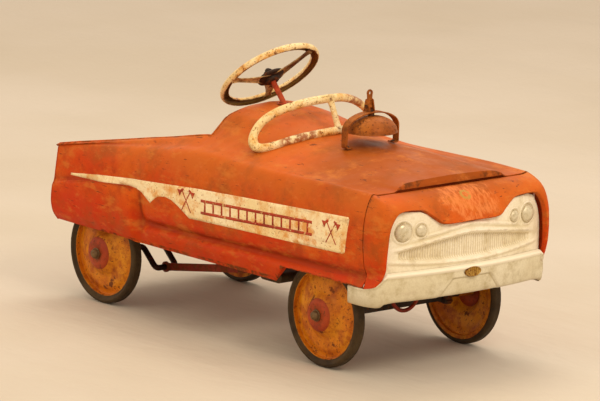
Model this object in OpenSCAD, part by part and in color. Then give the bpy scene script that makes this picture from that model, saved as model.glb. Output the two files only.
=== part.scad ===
// Child's pedal car: pressed steel body, crank drive to the rear axle,
// steered front wheels, cream windshield frame and a bell on the hood.
// Frame: X forward, Y left, Z up, Z = 0 on the ground.
// The origin is the middle of the bounding box, on the ground.

/* [Wheels] */
// Distance between the front and rear axle centres
wheelbase = 617; // [560:1:680]
// Distance between the middle planes of left and right wheels
track = 324; // [280:1:340]
// Outside diameter of a tyre
tyre_diameter = 190; // [160:1:220]
// Width of a tyre
tyre_width = 22; // [16:1:30]
// Outside radius of the pressed wheel disc
disc_radius = 84; // [70:1:90]
// Diameter of the wheel axles
axle_diameter = 11; // [8:0.5:14]

/* [Body] */
// Thickness of the pressed body sheet
sheet = 1.6; // [1:0.1:3]
// X of the rear edge of the body
tail_x = -456; // [-480:1:-420]
// X of the cockpit's front edge, where the cowl starts
cowl_x = -102; // [-120:1:-80]
// X of the seam between body shell and front fenders
seam_x = 400; // [380:1:410]
// Height of the hem under the doors
hem_z = 139; // [120:1:150]
// Height of the hem over the front wheels
arch_z = 170; // [155:1:180]
// Height of the deck behind the seat
deck_z = 252; // [220:1:262]
// Height of the seat surface
seat_z = 212; // [205:1:220]

/* [Drive] */
// Throw of the rear axle cranks
crank_throw = 52; // [40:1:60]
// Angle of the right crank below the forward direction
crank_angle = 42; // [0:1:90]
// Distance of the push straps from the car's middle plane
strap_y = 50; // [40:1:60]
// Distance of the pedal hangers from the car's middle plane
hanger_y = 60; // [56:1:70]
// X of the pivot that the pedal hangers swing from
hanger_x = 100; // [60:1:120]
// Z of the pivot that the pedal hangers swing from
hanger_z = 318; // [290:1:325]
// Height of the right pedal's pin
pedal_z = 125; // [110:1:140]
// X of the right pedal's pin
pedal_x = 80; // [60:1:100]

/* [Steering] */
// X of the steering wheel centre
wheel_x = -92; // [-110:1:-80]
// Z of the steering wheel centre
wheel_z = 451; // [430:1:470]
// Outside diameter of the steering wheel
steering_diameter = 196; // [160:1:210]
// Length of the arm at the foot of the steering shaft
drop_arm = 30; // [25:1:40]
// Distance from a kingpin to its tie rod pin
steering_arm = 59.5; // [50:0.5:65]
// Distance of the kingpins from the car's middle plane
kingpin_y = 125; // [115:1:130]

/* [Bell] */
// X of the bell's middle
bell_x = 186; // [160:1:220]
// Radius of the bell's rim
bell_radius = 47.5; // [35:0.5:50]
// Height of the bell's rim
bell_z = 392; // [380:1:400]

/* [Hidden] */
$fn = 48;
front_x = wheelbase / 2 - 45;
rear_x = -wheelbase / 2 - 45;
wheel_r = tyre_diameter / 2;
axle_r = axle_diameter / 2;
run = 0.06;      // radial clearance of a running fit
gap = 0.4;       // gap between pieces that do not touch
wheel_y = track / 2;
pin_r = 4;       // crank pins, pedal pins and hanger pins
rail_y = 100;    // chassis rails, at their middle
rail_h = 22;
hanger_len = norm([hanger_x - pedal_x, hanger_z - pedal_z]);
right_pin = [rear_x + crank_throw * cos(crank_angle), wheel_r - crank_throw * sin(crank_angle)];
left_pin = [rear_x - crank_throw * cos(crank_angle), wheel_r + crank_throw * sin(crank_angle)];
strap_len = norm([pedal_x, pedal_z] - right_pin);
// the left hanger hangs where its strap, of the same length, puts it
left_reach = norm([hanger_x, hanger_z] - left_pin);
left_bearing = atan2(hanger_z - left_pin[1], hanger_x - left_pin[0]);
left_inner = acos((left_reach * left_reach + strap_len * strap_len - hanger_len * hanger_len)
                  / (2 * left_reach * strap_len));
left_tilt = left_bearing - left_inner;
left_pedal = left_pin + strap_len * [cos(left_tilt), sin(left_tilt)];
lean = 42;       // the steering shaft's angle from upright
shaft_r = 5;
shaft_end_x = 219.5;                                // lower end of the steering shaft
tie_x = front_x - steering_arm;
tie_z = 73.6;    // underside of the tie rod

// ---- Lines of the body: half sections from the hem up to the middle line.
// Each row is [x, [[half width, height] ...]] with these thirteen points:
// hem, rocker crease, rocker hollow, rocker top, flank, high flank, shoulder,
// inner shoulder, cockpit rim, cowl foot, cowl flank, crown, middle.
cowl_ghost = [[107, 320], [86, 320], [42, 320], [0, 320]];
body_lines = [
    [-456, concat([[189, 142], [200, 158], [204, 180], [204, 206], [200, 220], [200, 266],
                   [200, 280], [199, 284], [198, 287]], cowl_ghost)],
    [-400, concat([[191, 142], [203, 160], [206, 188], [206, 219], [201, 232], [200, 270],
                   [195, 289], [192, 293], [188, 297]], cowl_ghost)],
    [-300, concat([[192, 142], [204, 162], [207, 195], [207, 230], [201, 243], [200, 277],
                   [190, 301], [179, 308], [167, 315]], cowl_ghost)],
    [-262, concat([[192, 141], [203, 162], [206, 195], [206, 230], [201, 243], [200, 280],
                   [189, 305], [175, 314], [159, 322]], cowl_ghost)],
    [-235, concat([[188, 141], [190, 160], [190, 182], [195, 208], [201, 246], [200, 282],
                   [188, 309], [171, 318], [153, 327]], cowl_ghost)],
    [-190, concat([[188, 139], [196, 162], [191, 181], [200, 198], [203, 245], [201, 285],
                   [187, 314], [166, 324], [144, 335]], cowl_ghost)],
    [-102, [[189, 139], [198, 163], [192, 181], [201, 197], [204, 245], [202, 290], [186, 327],
            [155, 336], [126, 351], [107, 367], [86, 383], [42, 394], [0, 397]]],
    [-50, [[189, 139], [198, 163], [192, 181], [201, 197], [204, 245], [202, 291], [188, 328],
           [166, 339], [143, 350], [119, 366], [92, 384], [46, 399], [0, 403]]],
    [0, [[189, 139], [198, 164], [192, 182], [201, 198], [204, 245], [203, 292], [189, 328],
         [170, 338], [150, 347], [128, 359], [100, 376], [52, 393], [0, 398]]],
    [50, [[189, 139], [198, 165], [192, 183], [201, 199], [204, 246], [203, 293], [190, 328],
          [172, 337], [153, 345], [130, 354], [100, 366], [52, 380], [0, 385]]],
    [105, [[189, 139], [198, 166], [192, 184], [201, 201], [204, 246], [203, 294], [191, 328],
           [174, 335], [154, 342], [131, 349], [100, 357], [52, 368], [0, 374]]],
    [180, [[190, 139], [198, 167], [193, 185], [201, 203], [204, 247], [203, 295], [191, 330],
           [174, 334], [152, 337], [126, 345], [100, 353], [52, 365], [0, 369]]],
    [300, [[190, 139], [198, 168], [194, 187], [201, 207], [204, 248], [202, 296], [190, 333],
           [172, 334], [146, 335], [122, 343], [98, 350], [52, 357], [0, 360]]],
    [402, [[191, 139], [197, 170], [197, 189], [201, 211], [203, 250], [201, 293], [186, 332],
           [168, 333], [132, 333], [119, 340], [98, 345], [52, 347], [0, 348]]],
];
line_count = 13;
rim_index = 8;          // the point of a section that is the cockpit rim
per_span = 2;           // surface points for each span of a section
half_count = (line_count - 1) * per_span;
girth = 2 * half_count;

// value of a row of numbers at a fractional place, with a smooth curve through them
function slope(xs, vs, i) =
    let (a = max(i - 1, 0), b = min(i + 1, len(xs) - 1)) (vs[b] - vs[a]) / (xs[b] - xs[a]);
function segment(xs, x, i = 0) = (i >= len(xs) - 2 || x <= xs[i + 1]) ? i : segment(xs, x, i + 1);
function hermite(xs, vs, x) =
    let (
        i = segment(xs, x),
        h = xs[i + 1] - xs[i],
        t = (x - xs[i]) / h,
        t2 = t * t,
        t3 = t2 * t
    )
    vs[i] * (2 * t3 - 3 * t2 + 1) + vs[i + 1] * (3 * t2 - 2 * t3)
    + h * slope(xs, vs, i) * (t3 - 2 * t2 + t) + h * slope(xs, vs, i + 1) * (t3 - t2);
station_x = [for (row = body_lines) row[0]];
function control(x, k, axis) = hermite(station_x, [for (row = body_lines) row[1][k][axis]], x);

// the hem rises over the front wheel
function hem(x) = lookup(x, [[-456, 142], [-250, 142], [-230, hem_z], [160, hem_z],
                             [190, arch_z], [seam_x + 2, arch_z]]);
line_index = [for (k = [0:line_count - 1]) k];
function half_section(x) =
    let (
        ys = [for (k = line_index) control(x, k, 0)],
        zs = [for (k = line_index) control(x, k, 1)],
        low = hem(x)
    )
    [for (n = [0:half_count]) [
        hermite(line_index, ys, n / per_span),
        max(hermite(line_index, zs, n / per_span), low + (n / half_count) * 12)
    ]];
function mirrored(section) = [
    for (n = [0:girth]) n <= half_count
        ? [section[n][0], section[n][1]]
        : [-section[girth - n][0], section[girth - n][1]]
];
// a section moved inwards by the sheet's thickness
function inward(section, depth) = [
    for (n = [0:len(section) - 1])
        let (
            a = section[max(n - 1, 0)],
            b = section[min(n + 1, len(section) - 1)],
            along = (b - a) / norm(b - a)
        )
        section[n] + depth * [-along[1], along[0]]
];

// A closed sheet from an outer and an inner grid of points.
// keep(i, j) cells are present; walls close the sheet at every free edge.
module sheet_solid(outer, inner, keep) {
    rows = len(outer);
    cols = len(outer[0]);
    count = rows * cols;
    points = concat([for (row = outer) each row], [for (row = inner) each row]);
    present = function (i, j) i >= 0 && j >= 0 && i < rows - 1 && j < cols - 1 && keep(i, j);
    at = function (i, j) i * cols + j;
    faces = [
        for (i = [0:rows - 2], j = [0:cols - 2]) if (present(i, j))
            let (a = at(i, j), b = at(i + 1, j), c = at(i + 1, j + 1), d = at(i, j + 1))
            each concat(
                [[a, b, c], [a, c, d]],
                [[a + count, c + count, b + count], [a + count, d + count, c + count]],
                present(i - 1, j) ? [] : [[a, d, d + count], [a, d + count, a + count]],
                present(i + 1, j) ? [] : [[c, b, b + count], [c, b + count, c + count]],
                present(i, j - 1) ? [] : [[b, a, a + count], [b, a + count, b + count]],
                present(i, j + 1) ? [] : [[d, c, c + count], [d, c + count, d + count]]
            )
    ];
    polyhedron(points = points, faces = faces, convexity = 10);
}

// A round bar along a path, as one closed surface
module bar(path, r, sides = 10) {
    last = len(path) - 1;
    rings = [
        for (i = [0:last])
            let (
                a = path[max(i - 1, 0)],
                b = path[min(i + 1, last)],
                t = (b - a) / norm(b - a),
                side = abs(t[1]) > 0.9 ? [1, 0, 0] : [0, 1, 0],
                u = cross(t, side) / norm(cross(t, side)),
                w = cross(t, u)
            )
            [for (s = [0:sides - 1]) path[i] + r * (cos(s * 360 / sides) * u + sin(s * 360 / sides) * w)]
    ];
    polyhedron(
        points = [for (ring = rings) each ring],
        faces = concat(
            [[for (s = [0:sides - 1]) s]],
            [[for (s = [sides - 1:-1:0]) last * sides + s]],
            [for (i = [0:last - 1], s = [0:sides - 1])
                let (n = (s + 1) % sides)
                each [[i * sides + s, (i + 1) * sides + s, (i + 1) * sides + n],
                      [i * sides + s, (i + 1) * sides + n, i * sides + n]]]
        ),
        convexity = 6
    );
}
function curve(points, steps) =
    let (index = [for (i = [0:len(points) - 1]) i], total = (len(points) - 1) * steps)
    [for (n = [0:total]) [for (axis = [0:2]) hermite(index, [for (p = points) p[axis]], n / steps)]];

module along_y(y0, y1, r, x, z) {
    translate([x, min(y0, y1), z]) rotate([-90, 0, 0]) cylinder(r = r, h = abs(y1 - y0));
}
module both_sides() {
    children();
    mirror([0, 1, 0]) children();
}
// places children in the steering shaft's own frame: its Z runs up the shaft
module on_shaft(distance = 0) {
    translate([wheel_x, 0, wheel_z]) rotate([0, -lean, 0]) translate([0, 0, distance]) children();
}
shaft_len = (shaft_end_x - wheel_x) / sin(lean);

// ------------------------------------------------------------------ body
shell_x = concat(
    [for (x = [tail_x, -430, -400, -365, -330, -300, -280, -262, -248, -235, -220, -205, -190, -160, -130]) x],
    [for (x = [cowl_x, -76, -50, -25, 0, 25, 50, 78, 105, 140, 160, 175, 190, 220, 260, 300, 340, 375]) x],
    [seam_x - 4]
);
// the tail edge leans back from its upper corner to the bulge over the wheel
tail_rake = [[140, 8], [178, 10.6], [230, 5], [287, -5], [400, -5]];
rake_reach = 56;
function raked(x, z) = x - lookup(z, tail_rake) * max(0, (tail_x + rake_reach - x) / rake_reach);
rim_cell = rim_index * per_span;
cowl_row = search(cowl_x, shell_x)[0];
function lip_drop(section, floor_z) = [for (p = section) [p[0], p[1] > floor_z ? floor_z : p[1]]];
module body_shell() color("#B8401C") {
    sections = [for (x = shell_x) half_section(x)];
    lip = lip_drop(half_section(seam_x), 335);
    all = concat([for (s = sections) mirrored(s)], [mirrored(lip)]);
    xs = concat(shell_x, [seam_x]);
    outer = [for (i = [0:len(xs) - 1]) [for (p = all[i]) [raked(xs[i], p[1]), p[0], p[1]]]];
    inner = [for (i = [0:len(xs) - 1]) [for (p = inward(all[i], sheet))
        [min(raked(xs[i], p[1]), seam_x - sheet), p[0], p[1]]]];
    difference() {
        sheet_solid(outer, inner, function (i, j)
            i >= cowl_row || j < rim_cell || j >= girth - rim_cell);
        on_shaft(-66) cylinder(r = shaft_r + 1.5, h = 40, center = true);
    }
}

// The front clip ahead of the seam: each line of the section runs forward in a
// curve from the seam to the edge round the front panel.
// Rows are [start, edge], each [x, half width, height].
clip_lines = [
    [[402, 191, 171], [438, 189, 184]],
    [[402, 196, 182], [446, 190, 194]],
    [[402, 198, 196], [448, 190, 207]],
    [[402, 201, 212], [449, 190, 222]],
    [[402, 203, 250], [450, 188, 248]],
    [[402, 201, 292], [450, 183, 280]],
    [[402, 187, 331], [450, 168, 304]],
    [[402, 168, 331], [450, 148, 310]],
    [[402, 132, 331], [451, 112, 308]],
    [[402, 119, 331], [453, 98, 302]],
    [[402, 98, 331], [457, 80, 290]],
    [[402, 52, 331], [461, 60, 280]],
    [[402, 0, 331], [462, 0, 280]],
];
clip_steps = 7;
side_lines = 6;         // the first lines belong to the side, the rest to the top
function bezier(a, b, c, t) = (1 - t) * (1 - t) * a + 2 * t * (1 - t) * b + t * t * c;
function clip_value(k, t) =
    let (
        a = clip_lines[k][0],
        c = clip_lines[k][1],
        corner = k <= side_lines ? [c[0] + 3, a[1] + 1, (a[2] + c[2]) / 2]
                                 : [(a[0] + c[0]) / 2 + 8, (a[1] + c[1]) / 2, a[2] - 1]
    )
    bezier(a, corner, c, t);
function clip_section(t) =
    let (pts = [for (k = line_index) clip_value(k, t)])
    [for (n = [0:half_count]) [for (axis = [0:2])
        hermite(line_index, [for (p = pts) p[axis]], n / per_span)]];
function mirrored3(section) = [
    for (n = [0:girth]) n <= half_count
        ? section[n]
        : [section[girth - n][0], -section[girth - n][1], section[girth - n][2]]
];
module front_clip() color("#B8401C") {
    outer = [for (i = [0:clip_steps]) mirrored3(clip_section(i / clip_steps))];
    inner = [for (row = outer)
        let (flat = inward([for (p = row) [p[1], p[2]]], sheet))
        [for (n = [0:girth]) [row[n][0] - (row == outer[clip_steps] ? 0.4 : 0.3), flat[n][0], flat[n][1]]]];
    sheet_solid(outer, inner, function (i, j) true);
}

// top edge of the white panel, which follows the brows over the headlights
panel_half = 181;
panel_top = [[0, 276], [60, 276], [80, 286], [97, 298], [112, 304], [148, 306], [166, 300], [panel_half, 278]];
panel_floor = 199;
front_bow = 22;         // how far the front's middle stands ahead of its corners
front_middle_x = 461;
headlight_z = 271;
function front_plan(y) = front_middle_x - front_bow * pow(abs(y) / 190, 2);
function dome(y, z, cy, cz, r, h) =
    let (d = norm([abs(y) - cy, z - cz]) / r) d >= 1 ? 0 : h * sqrt(1 - d * d);
function grille_low(y) = 213 + 8 * pow(abs(y) / 150, 2);
function grille_high(y) = 256 - 20 * pow(abs(y) / 150, 1.3);
function panel_relief(y, z) =
    let (inside = abs(y) < 152 && z > grille_low(y) && z < grille_high(y))
    -6 + (inside ? -4 : 0)
    + dome(y, z, 147, headlight_z, 18, 8)
    + dome(y, z, 109, headlight_z, 13.5, 6);
module grille_panel() color("#E8DCC0") {
    cols = 60;
    levels = 18;
    ys = [for (j = [0:cols]) panel_half * (1 - 2 * j / cols)];
    outer = [for (i = [levels:-1:0]) [for (y = ys)
        let (z = panel_floor + (lookup(abs(y), panel_top) - panel_floor) * i / levels)
        [front_plan(y) + panel_relief(y, z), y, z]]];
    inner = [for (row = outer) [for (p = row) [p[0] - sheet, p[1], p[2]]]];
    sheet_solid(outer, inner, function (i, j) true);
}

// the bumper goes round both front corners to the wheel arches
bumper_plan = concat(
    [[360, 199.5], [380, 200.5], [402, 200], [420, 198.5], [433, 195.5], [441, 190]],
    [for (y = [180:-20:-180]) [front_plan(y), y]],
    [[441, -190], [433, -195.5], [420, -198.5], [402, -200], [380, -200.5], [360, -199.5]]
);
// across the bumper from its lower edge up: [height, step forward]
bumper_section = [[147, -5], [150, 0], [165, 3], [180, 3.5], [190, 2], [196, 4], [197.6, 1]];
corner_points = 6;
bumper_low = 147;
end_low = 138;          // lower edge of the bumper's wrapped ends
end_share = 0.42;       // height of the wrapped ends as a share of the middle's
function bumper_height(z, j, last) =
    let (from_end = min(j, last - j), t = min(from_end / corner_points, 1))
    // the wrapped ends are lower, to pass below the fenders
    (1 - t) * (end_low + (z - bumper_low) * end_share) + t * z;
module bumper() color("#E8DCC0") {
    last = len(bumper_plan) - 1;
    rows = [for (s = [len(bumper_section) - 1:-1:0]) bumper_section[s]];
    away = [for (j = [0:last])
        let (a = bumper_plan[max(j - 1, 0)], b = bumper_plan[min(j + 1, last)], t = (b - a) / norm(b - a))
        [-t[1], t[0]]];
    reach = function (j) let (from_end = min(j, last - j)) from_end < corner_points ? 0.35 : 1;
    outer = [for (r = rows) [for (j = [0:last])
        let (p = bumper_plan[j] + away[j] * r[1] * reach(j))
        [p[0], p[1], bumper_height(r[0], j, last)]]];
    inner = [for (r = rows) [for (j = [0:last])
        let (p = bumper_plan[j] + away[j] * (r[1] * reach(j) - sheet))
        [p[0], p[1], bumper_height(r[0], j, last)]]];
    sheet_solid(outer, inner, function (i, j) true);
}

badge_z = 187;
module badge() color("#B08A30") {
    translate([front_middle_x + 3.9 + gap, 0, badge_z]) rotate([0, 90, 0])
        linear_extrude(2) intersection() {
            translate([0, 14]) circle(r = 24);
            translate([0, -14]) circle(r = 24);
        }
}

// rear wall of the body, with low corners between the two fins
module tail_panel() color("#B8401C") {
    half = 192;
    translate([tail_x + 4, 0, 0]) rotate([90, 0, 90]) linear_extrude(2)
        polygon([[-half, 150], [half, 150], [half + 3, 200], [half, 255], [half - 18, deck_z],
                 [-half + 18, deck_z], [-half, 255], [-half - 3, 200]]);
}

// ------------------------------------------------------------------ windshield
frame_r = 6.4;
windshield_path = [
    [75, 0, 434], [60, 45, 428], [42, 89, 415], [33, 122, 397], [34, 143, 374], [46, 148, 357],
    [63, 131, 357], [83, 75, 371], [101, 0, 380]
];
module windshield_frame() color("#E2CB98") {
    both_sides() bar(curve(windshield_path, 3), frame_r);
    bar([[75.4, 0, 433], [100.6, 0, 381]], frame_r - 1.6);
}
// A strip of constant thickness along a path, flat in the plane
module strip(path, t) {
    last = len(path) - 1;
    along = function (i)
        let (a = path[max(i - 1, 0)], b = path[min(i + 1, last)]) (b - a) / norm(b - a);
    miter = function (i)
        let (
            a = path[max(i - 1, 0)],
            b = path[min(i + 1, last)],
            u = i == 0 ? along(0) : (path[i] - a) / norm(path[i] - a),
            v = i == last ? along(last) : (b - path[i]) / norm(b - path[i]),
            n = [-u[1] - v[1], u[0] + v[0]],
            half = norm(n) / 2
        )
        n / norm(n) / half;
    polygon(concat(
        [for (i = [0:last]) path[i]],
        [for (i = [last:-1:0]) path[i] - t * miter(i)]
    ));
}
// a flat bar with round ends and an eye at each, standing in the XZ plane
module link(a, b, width, t, hole_a, hole_b, y) {
    length = norm(b - a);
    translate([a[0], y + t / 2, a[1]]) rotate([90, 0, 0]) rotate([0, 0, atan2(b[1] - a[1], b[0] - a[0])])
        linear_extrude(t) difference() {
            union() {
                translate([0, -width / 2]) square([length, width]);
                circle(r = hole_a + 4.5);
                translate([length, 0]) circle(r = max(width / 2, hole_b + 3));
            }
            circle(r = hole_a);
            if (hole_b > 0) translate([length, 0]) circle(r = hole_b);
        }
}

// ------------------------------------------------------------------ seat
seat_half = 191;
seat_line = [[-118, 204], [-124, seat_z], [-318, seat_z - 5], [-350, deck_z - 6], [-362, deck_z],
             [-450, deck_z]];
module seat() color("#9C3618") {
    rotate([90, 0, 0]) linear_extrude(2 * seat_half, center = true)
        strip([for (i = [len(seat_line) - 1:-1:0]) seat_line[i]], 2);
}

// ------------------------------------------------------------------ bell
strap_w = 17;
strap_t = 2.4;
arch_half = 62;
foot_z = 366.4;
foot_len = 13;
spring_z = 398;         // where the bracket's arch starts
arch_top_z = 428;
arch_steps = 16;
bell_height = 28;
module bell_bracket() color("#7A4A28") {
    path = concat(
        [[-arch_half + foot_len, foot_z], [-arch_half, foot_z]],
        [for (i = [0:arch_steps]) let (a = 180 - 180 * i / arch_steps)
            [arch_half * cos(a), spring_z + (arch_top_z - spring_z) * sin(a)]],
        [[arch_half, foot_z], [arch_half - foot_len, foot_z]]
    );
    difference() {
        union() {
            translate([bell_x - strap_w / 2, 0, 0]) rotate([90, 0, 90]) linear_extrude(strap_w) strip(path, strap_t);
            for (s = [-1, 1]) lever_ear(s);
        }
        translate([bell_x, 0, 0]) cylinder(r = 3.2, h = 600);
        along_y(-20, 20, 2 + run, bell_x - 5, lever_z);
    }
}
lever_z = 436;
lever_half = 4;
module lever_ear(s) {
    translate([bell_x - 10, s * (lever_half + gap + 1) - 1, arch_top_z - 2]) cube([10, 2, lever_z + 5 - arch_top_z + 2]);
}
bell_sheet = 2;
dome_steps = 18;
dome_power = 0.88;      // below 1 the dome has a flatter top and a rounder shoulder
function bell_line(r, h) = [for (i = [0:dome_steps]) let (a = 90 * i / dome_steps)
    [r * pow(sin(a), dome_power), h * pow(cos(a), dome_power)]];
module bell() color("#8C5226") {
    inside = bell_line(bell_radius - bell_sheet, bell_height - bell_sheet);
    translate([bell_x, 0, bell_z]) rotate_extrude($fn = 64) difference() {
        polygon(concat(bell_line(bell_radius, bell_height), [for (i = [dome_steps:-1:0]) inside[i]]));
        square([3.2, 80]);
    }
}
module bell_bolt() color("#5A3A20") {
    top = arch_top_z + 0.1;
    translate([bell_x, 0, bell_z + bell_height - 12]) cylinder(r = 3, h = top - bell_z - bell_height + 12);
    translate([bell_x, 0, top]) cylinder(r = 4.6, h = 3, $fn = 6);
    translate([bell_x, 0, bell_z + bell_height - 7]) cylinder(r = 6, h = 4, $fn = 6);
    translate([bell_x, 0, bell_z + bell_height + 0.1]) cylinder(r = 6, h = arch_top_z - strap_t - bell_height - bell_z - 0.7);
}
// upright pull lever with an eye for a cord at its upper end
lever_len = 30;
module bell_lever() color("#7A4A28") {
    x = bell_x - 5;
    difference() {
        union() {
            along_y(-lever_half, lever_half, 4, x, lever_z);
            translate([x - 1.5, -lever_half, lever_z]) cube([3, 2 * lever_half, lever_len - 6]);
            translate([x - 1.5, 0, lever_z + lever_len - 6]) rotate([0, 90, 0]) cylinder(r = 6.5, h = 3);
        }
        along_y(-10, 10, 2 + run, x, lever_z);
        translate([x - 5, 0, lever_z + lever_len - 6]) rotate([0, 90, 0]) cylinder(r = 2.6, h = 10);
    }
}
module lever_pin() color("#5A3A20") {
    reach = lever_half + gap + 2 + 0.2;
    along_y(-reach - 2, reach + 2, 2, bell_x - 5, lever_z);
    for (s = [-1, 1]) along_y(s * reach, s * (reach + 2), 3.4, bell_x - 5, lever_z);
}

// ------------------------------------------------------------------ steering
rim_r = 8;
ring_r = steering_diameter / 2 - rim_r;
hub_drop = 5;           // the spokes meet a little below the rim
module steering_wheel() color("#E2CB98") on_shaft() {
    rotate_extrude($fn = 96) translate([ring_r, 0]) circle(r = rim_r, $fn = 20);
    difference() {
        union() {
            translate([0, 0, -hub_drop - 8]) cylinder(r = 20, h = 12);
            translate([0, 0, -hub_drop - 1]) cylinder(r = 11, h = hub_drop + 1);
            for (a = [31, 151, 271]) rotate([0, 0, a]) {
                spoke_run = ring_r - 14;
                tilt = atan2(hub_drop, spoke_run);
                translate([14, 0, -hub_drop - 1]) rotate([0, -tilt, 0])
                    translate([0, -7, -3]) cube([norm([spoke_run, hub_drop]), 14, 5]);
            }
        }
        translate([0, 0, -hub_drop - 20]) cylinder(r = shaft_r + 0.02, h = 60);
    }
}
module steering_nut() color("#5A3A20") on_shaft(0.1) difference() {
    union() {
        cylinder(r = 9, h = 7, $fn = 6);
        translate([0, 0, 7]) sphere(r = 6);
    }
    translate([0, 0, -1]) cylinder(r = shaft_r + 0.02, h = 6);
}
arm_pin_r = 3;
slot_room = 0.75;       // side room of the steering pins in their slots
module steering_shaft() color("#A03018") on_shaft() {
    translate([0, 0, -shaft_len]) cylinder(r = shaft_r, h = shaft_len + 4);
    translate([0, 0, -shaft_len - 3]) difference() {
        union() {
            cylinder(r = 11, h = 6);
            translate([-drop_arm, -7, 0]) cube([drop_arm, 14, 6]);
            translate([-drop_arm, 0, 0]) cylinder(r = 7, h = 6);
            translate([-drop_arm, 0, -11]) cylinder(r = arm_pin_r, h = 11);
        }
    }
    // collar that keeps the shaft from sliding down through its bearing bar
    translate([0, 0, -bearing_down + 2.2]) cylinder(r = 9, h = 7);
}
bearing_x = 167;
bearing_down = (bearing_x - wheel_x) / sin(lean);
module column_bar() color("#3A3028") difference() {
    on_shaft(-bearing_down) translate([-12, -98.2, -1.5]) cube([24, 196.4, 3]);
    on_shaft(-bearing_down - 10) cylinder(r = shaft_r + run, h = 20);
}
boss_x = -50.7;
module column_boss() color("#A03018") difference() {
    translate([boss_x, 0, 403.8]) union() {
        cylinder(r = 12.5, h = 1);
        cylinder(r = 9, h = 2.6);
    }
    on_shaft(-120) cylinder(r = shaft_r + run, h = 100);
}
module tie_rod() color("#8C2C16") {
    t = 3;
    z = tie_z;
    slot = arm_pin_r + slot_room;
    down = 9;       // distance of the middle plate below the drop arm, along the shaft
    pin_room = 7;   // the slot reaches this far below that plate
    difference() {
        union() {
            translate([tie_x - 7, -kingpin_y - 8, z]) cube([14, 2 * kingpin_y + 16, t]);
            on_shaft(-shaft_len - down - t) translate([-drop_arm - 16, -12, 0]) cube([28, 24, t]);
            translate([tie_x - 4, -12, z]) cube([8, 24, 5]);
        }
        for (s = [-1, 1]) {
            translate([tie_x, s * kingpin_y, z - 1]) cylinder(r = slot, h = t + 2);
            translate([tie_x + 2.5, s * kingpin_y, z - 1]) cylinder(r = slot, h = t + 2);
            translate([tie_x + 5, s * kingpin_y, z - 1]) cylinder(r = slot, h = t + 2);
        }
        on_shaft(-shaft_len - down - t - pin_room) {
            translate([-drop_arm - 1, -slot, 0]) cube([8, 2 * slot, t + pin_room + 4]);
            translate([-drop_arm - 1, 0, 0]) cylinder(r = slot, h = t + pin_room + 4);
            translate([-drop_arm + 7, 0, 0]) cylinder(r = slot, h = t + pin_room + 4);
        }
    }
}
module column_loop() color("#8C2C16") {
    half = 32;
    z = 117;
    path = concat(
        [[267.5, half, 112], [276, half, 122], [288, half, 124]],
        [for (a = [0:-15:-180]) [290, half * cos(a), z + half * sin(a)]],
        [[288, -half, 124], [276, -half, 122], [267.5, -half, 112]]
    );
    bar(path, 3.6);
}

// ------------------------------------------------------------------ front axle
beam_z0 = 84;
beam_z1 = 106;
yoke_t = 3;
knuckle_r = 9;
module front_beam() color("#3A3028") difference() {
    union() {
        translate([front_x - 2.5, -113, beam_z0]) cube([5, 226, beam_z1 - beam_z0]);
        for (s = [-1, 1], z = [beam_z0 - yoke_t, beam_z1]) yoke_plate(s, z);
        for (s = [-1, 1]) translate([front_x - 11, s * 112.5 - 1.5, beam_z0]) cube([22, 3, beam_z1 - beam_z0]);
    }
    for (s = [-1, 1]) translate([front_x, s * kingpin_y, 50]) cylinder(r = shaft_r + run, h = 90);
}
module yoke_plate(s, z) {
    translate([front_x - 11, s > 0 ? 111 : -kingpin_y, z]) cube([22, kingpin_y - 111, yoke_t]);
    translate([front_x, s * kingpin_y, z]) cylinder(r = 11, h = yoke_t);
}
module spindle() color("#3A3028") {
    arm_z = beam_z0 - yoke_t - gap - 3;
    difference() {
        union() {
            translate([front_x, kingpin_y, arm_z]) cylinder(r = shaft_r, h = beam_z1 + 8 - arm_z);
            translate([front_x, kingpin_y, beam_z0 + gap]) cylinder(r = knuckle_r, h = beam_z1 - beam_z0 - 2 * gap);
            translate([front_x, kingpin_y, beam_z1 + yoke_t + gap]) cylinder(r = 8, h = 3);
            along_y(kingpin_y, wheel_y + hub_out, axle_r, front_x, wheel_r);
            along_y(kingpin_y, wheel_y - hub_in - gap, 8, front_x, wheel_r);
            translate([front_x - steering_arm, kingpin_y - 6, arm_z]) cube([steering_arm, 12, 3]);
            translate([front_x - steering_arm, kingpin_y, arm_z]) cylinder(r = 6, h = 3);
            translate([front_x, kingpin_y, arm_z]) cylinder(r = 9, h = 3);
            translate([front_x - steering_arm, kingpin_y, arm_z - 9]) cylinder(r = arm_pin_r, h = 10);
        }
    }
}
module spindle_left() spindle();
module spindle_right() mirror([0, 1, 0]) spindle();

// ------------------------------------------------------------------ wheels
hub_in = 12;            // hub reach inboard of the wheel's middle plane
hub_out = 22;           // hub reach outboard of it
disc_t = 1.8;
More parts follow.
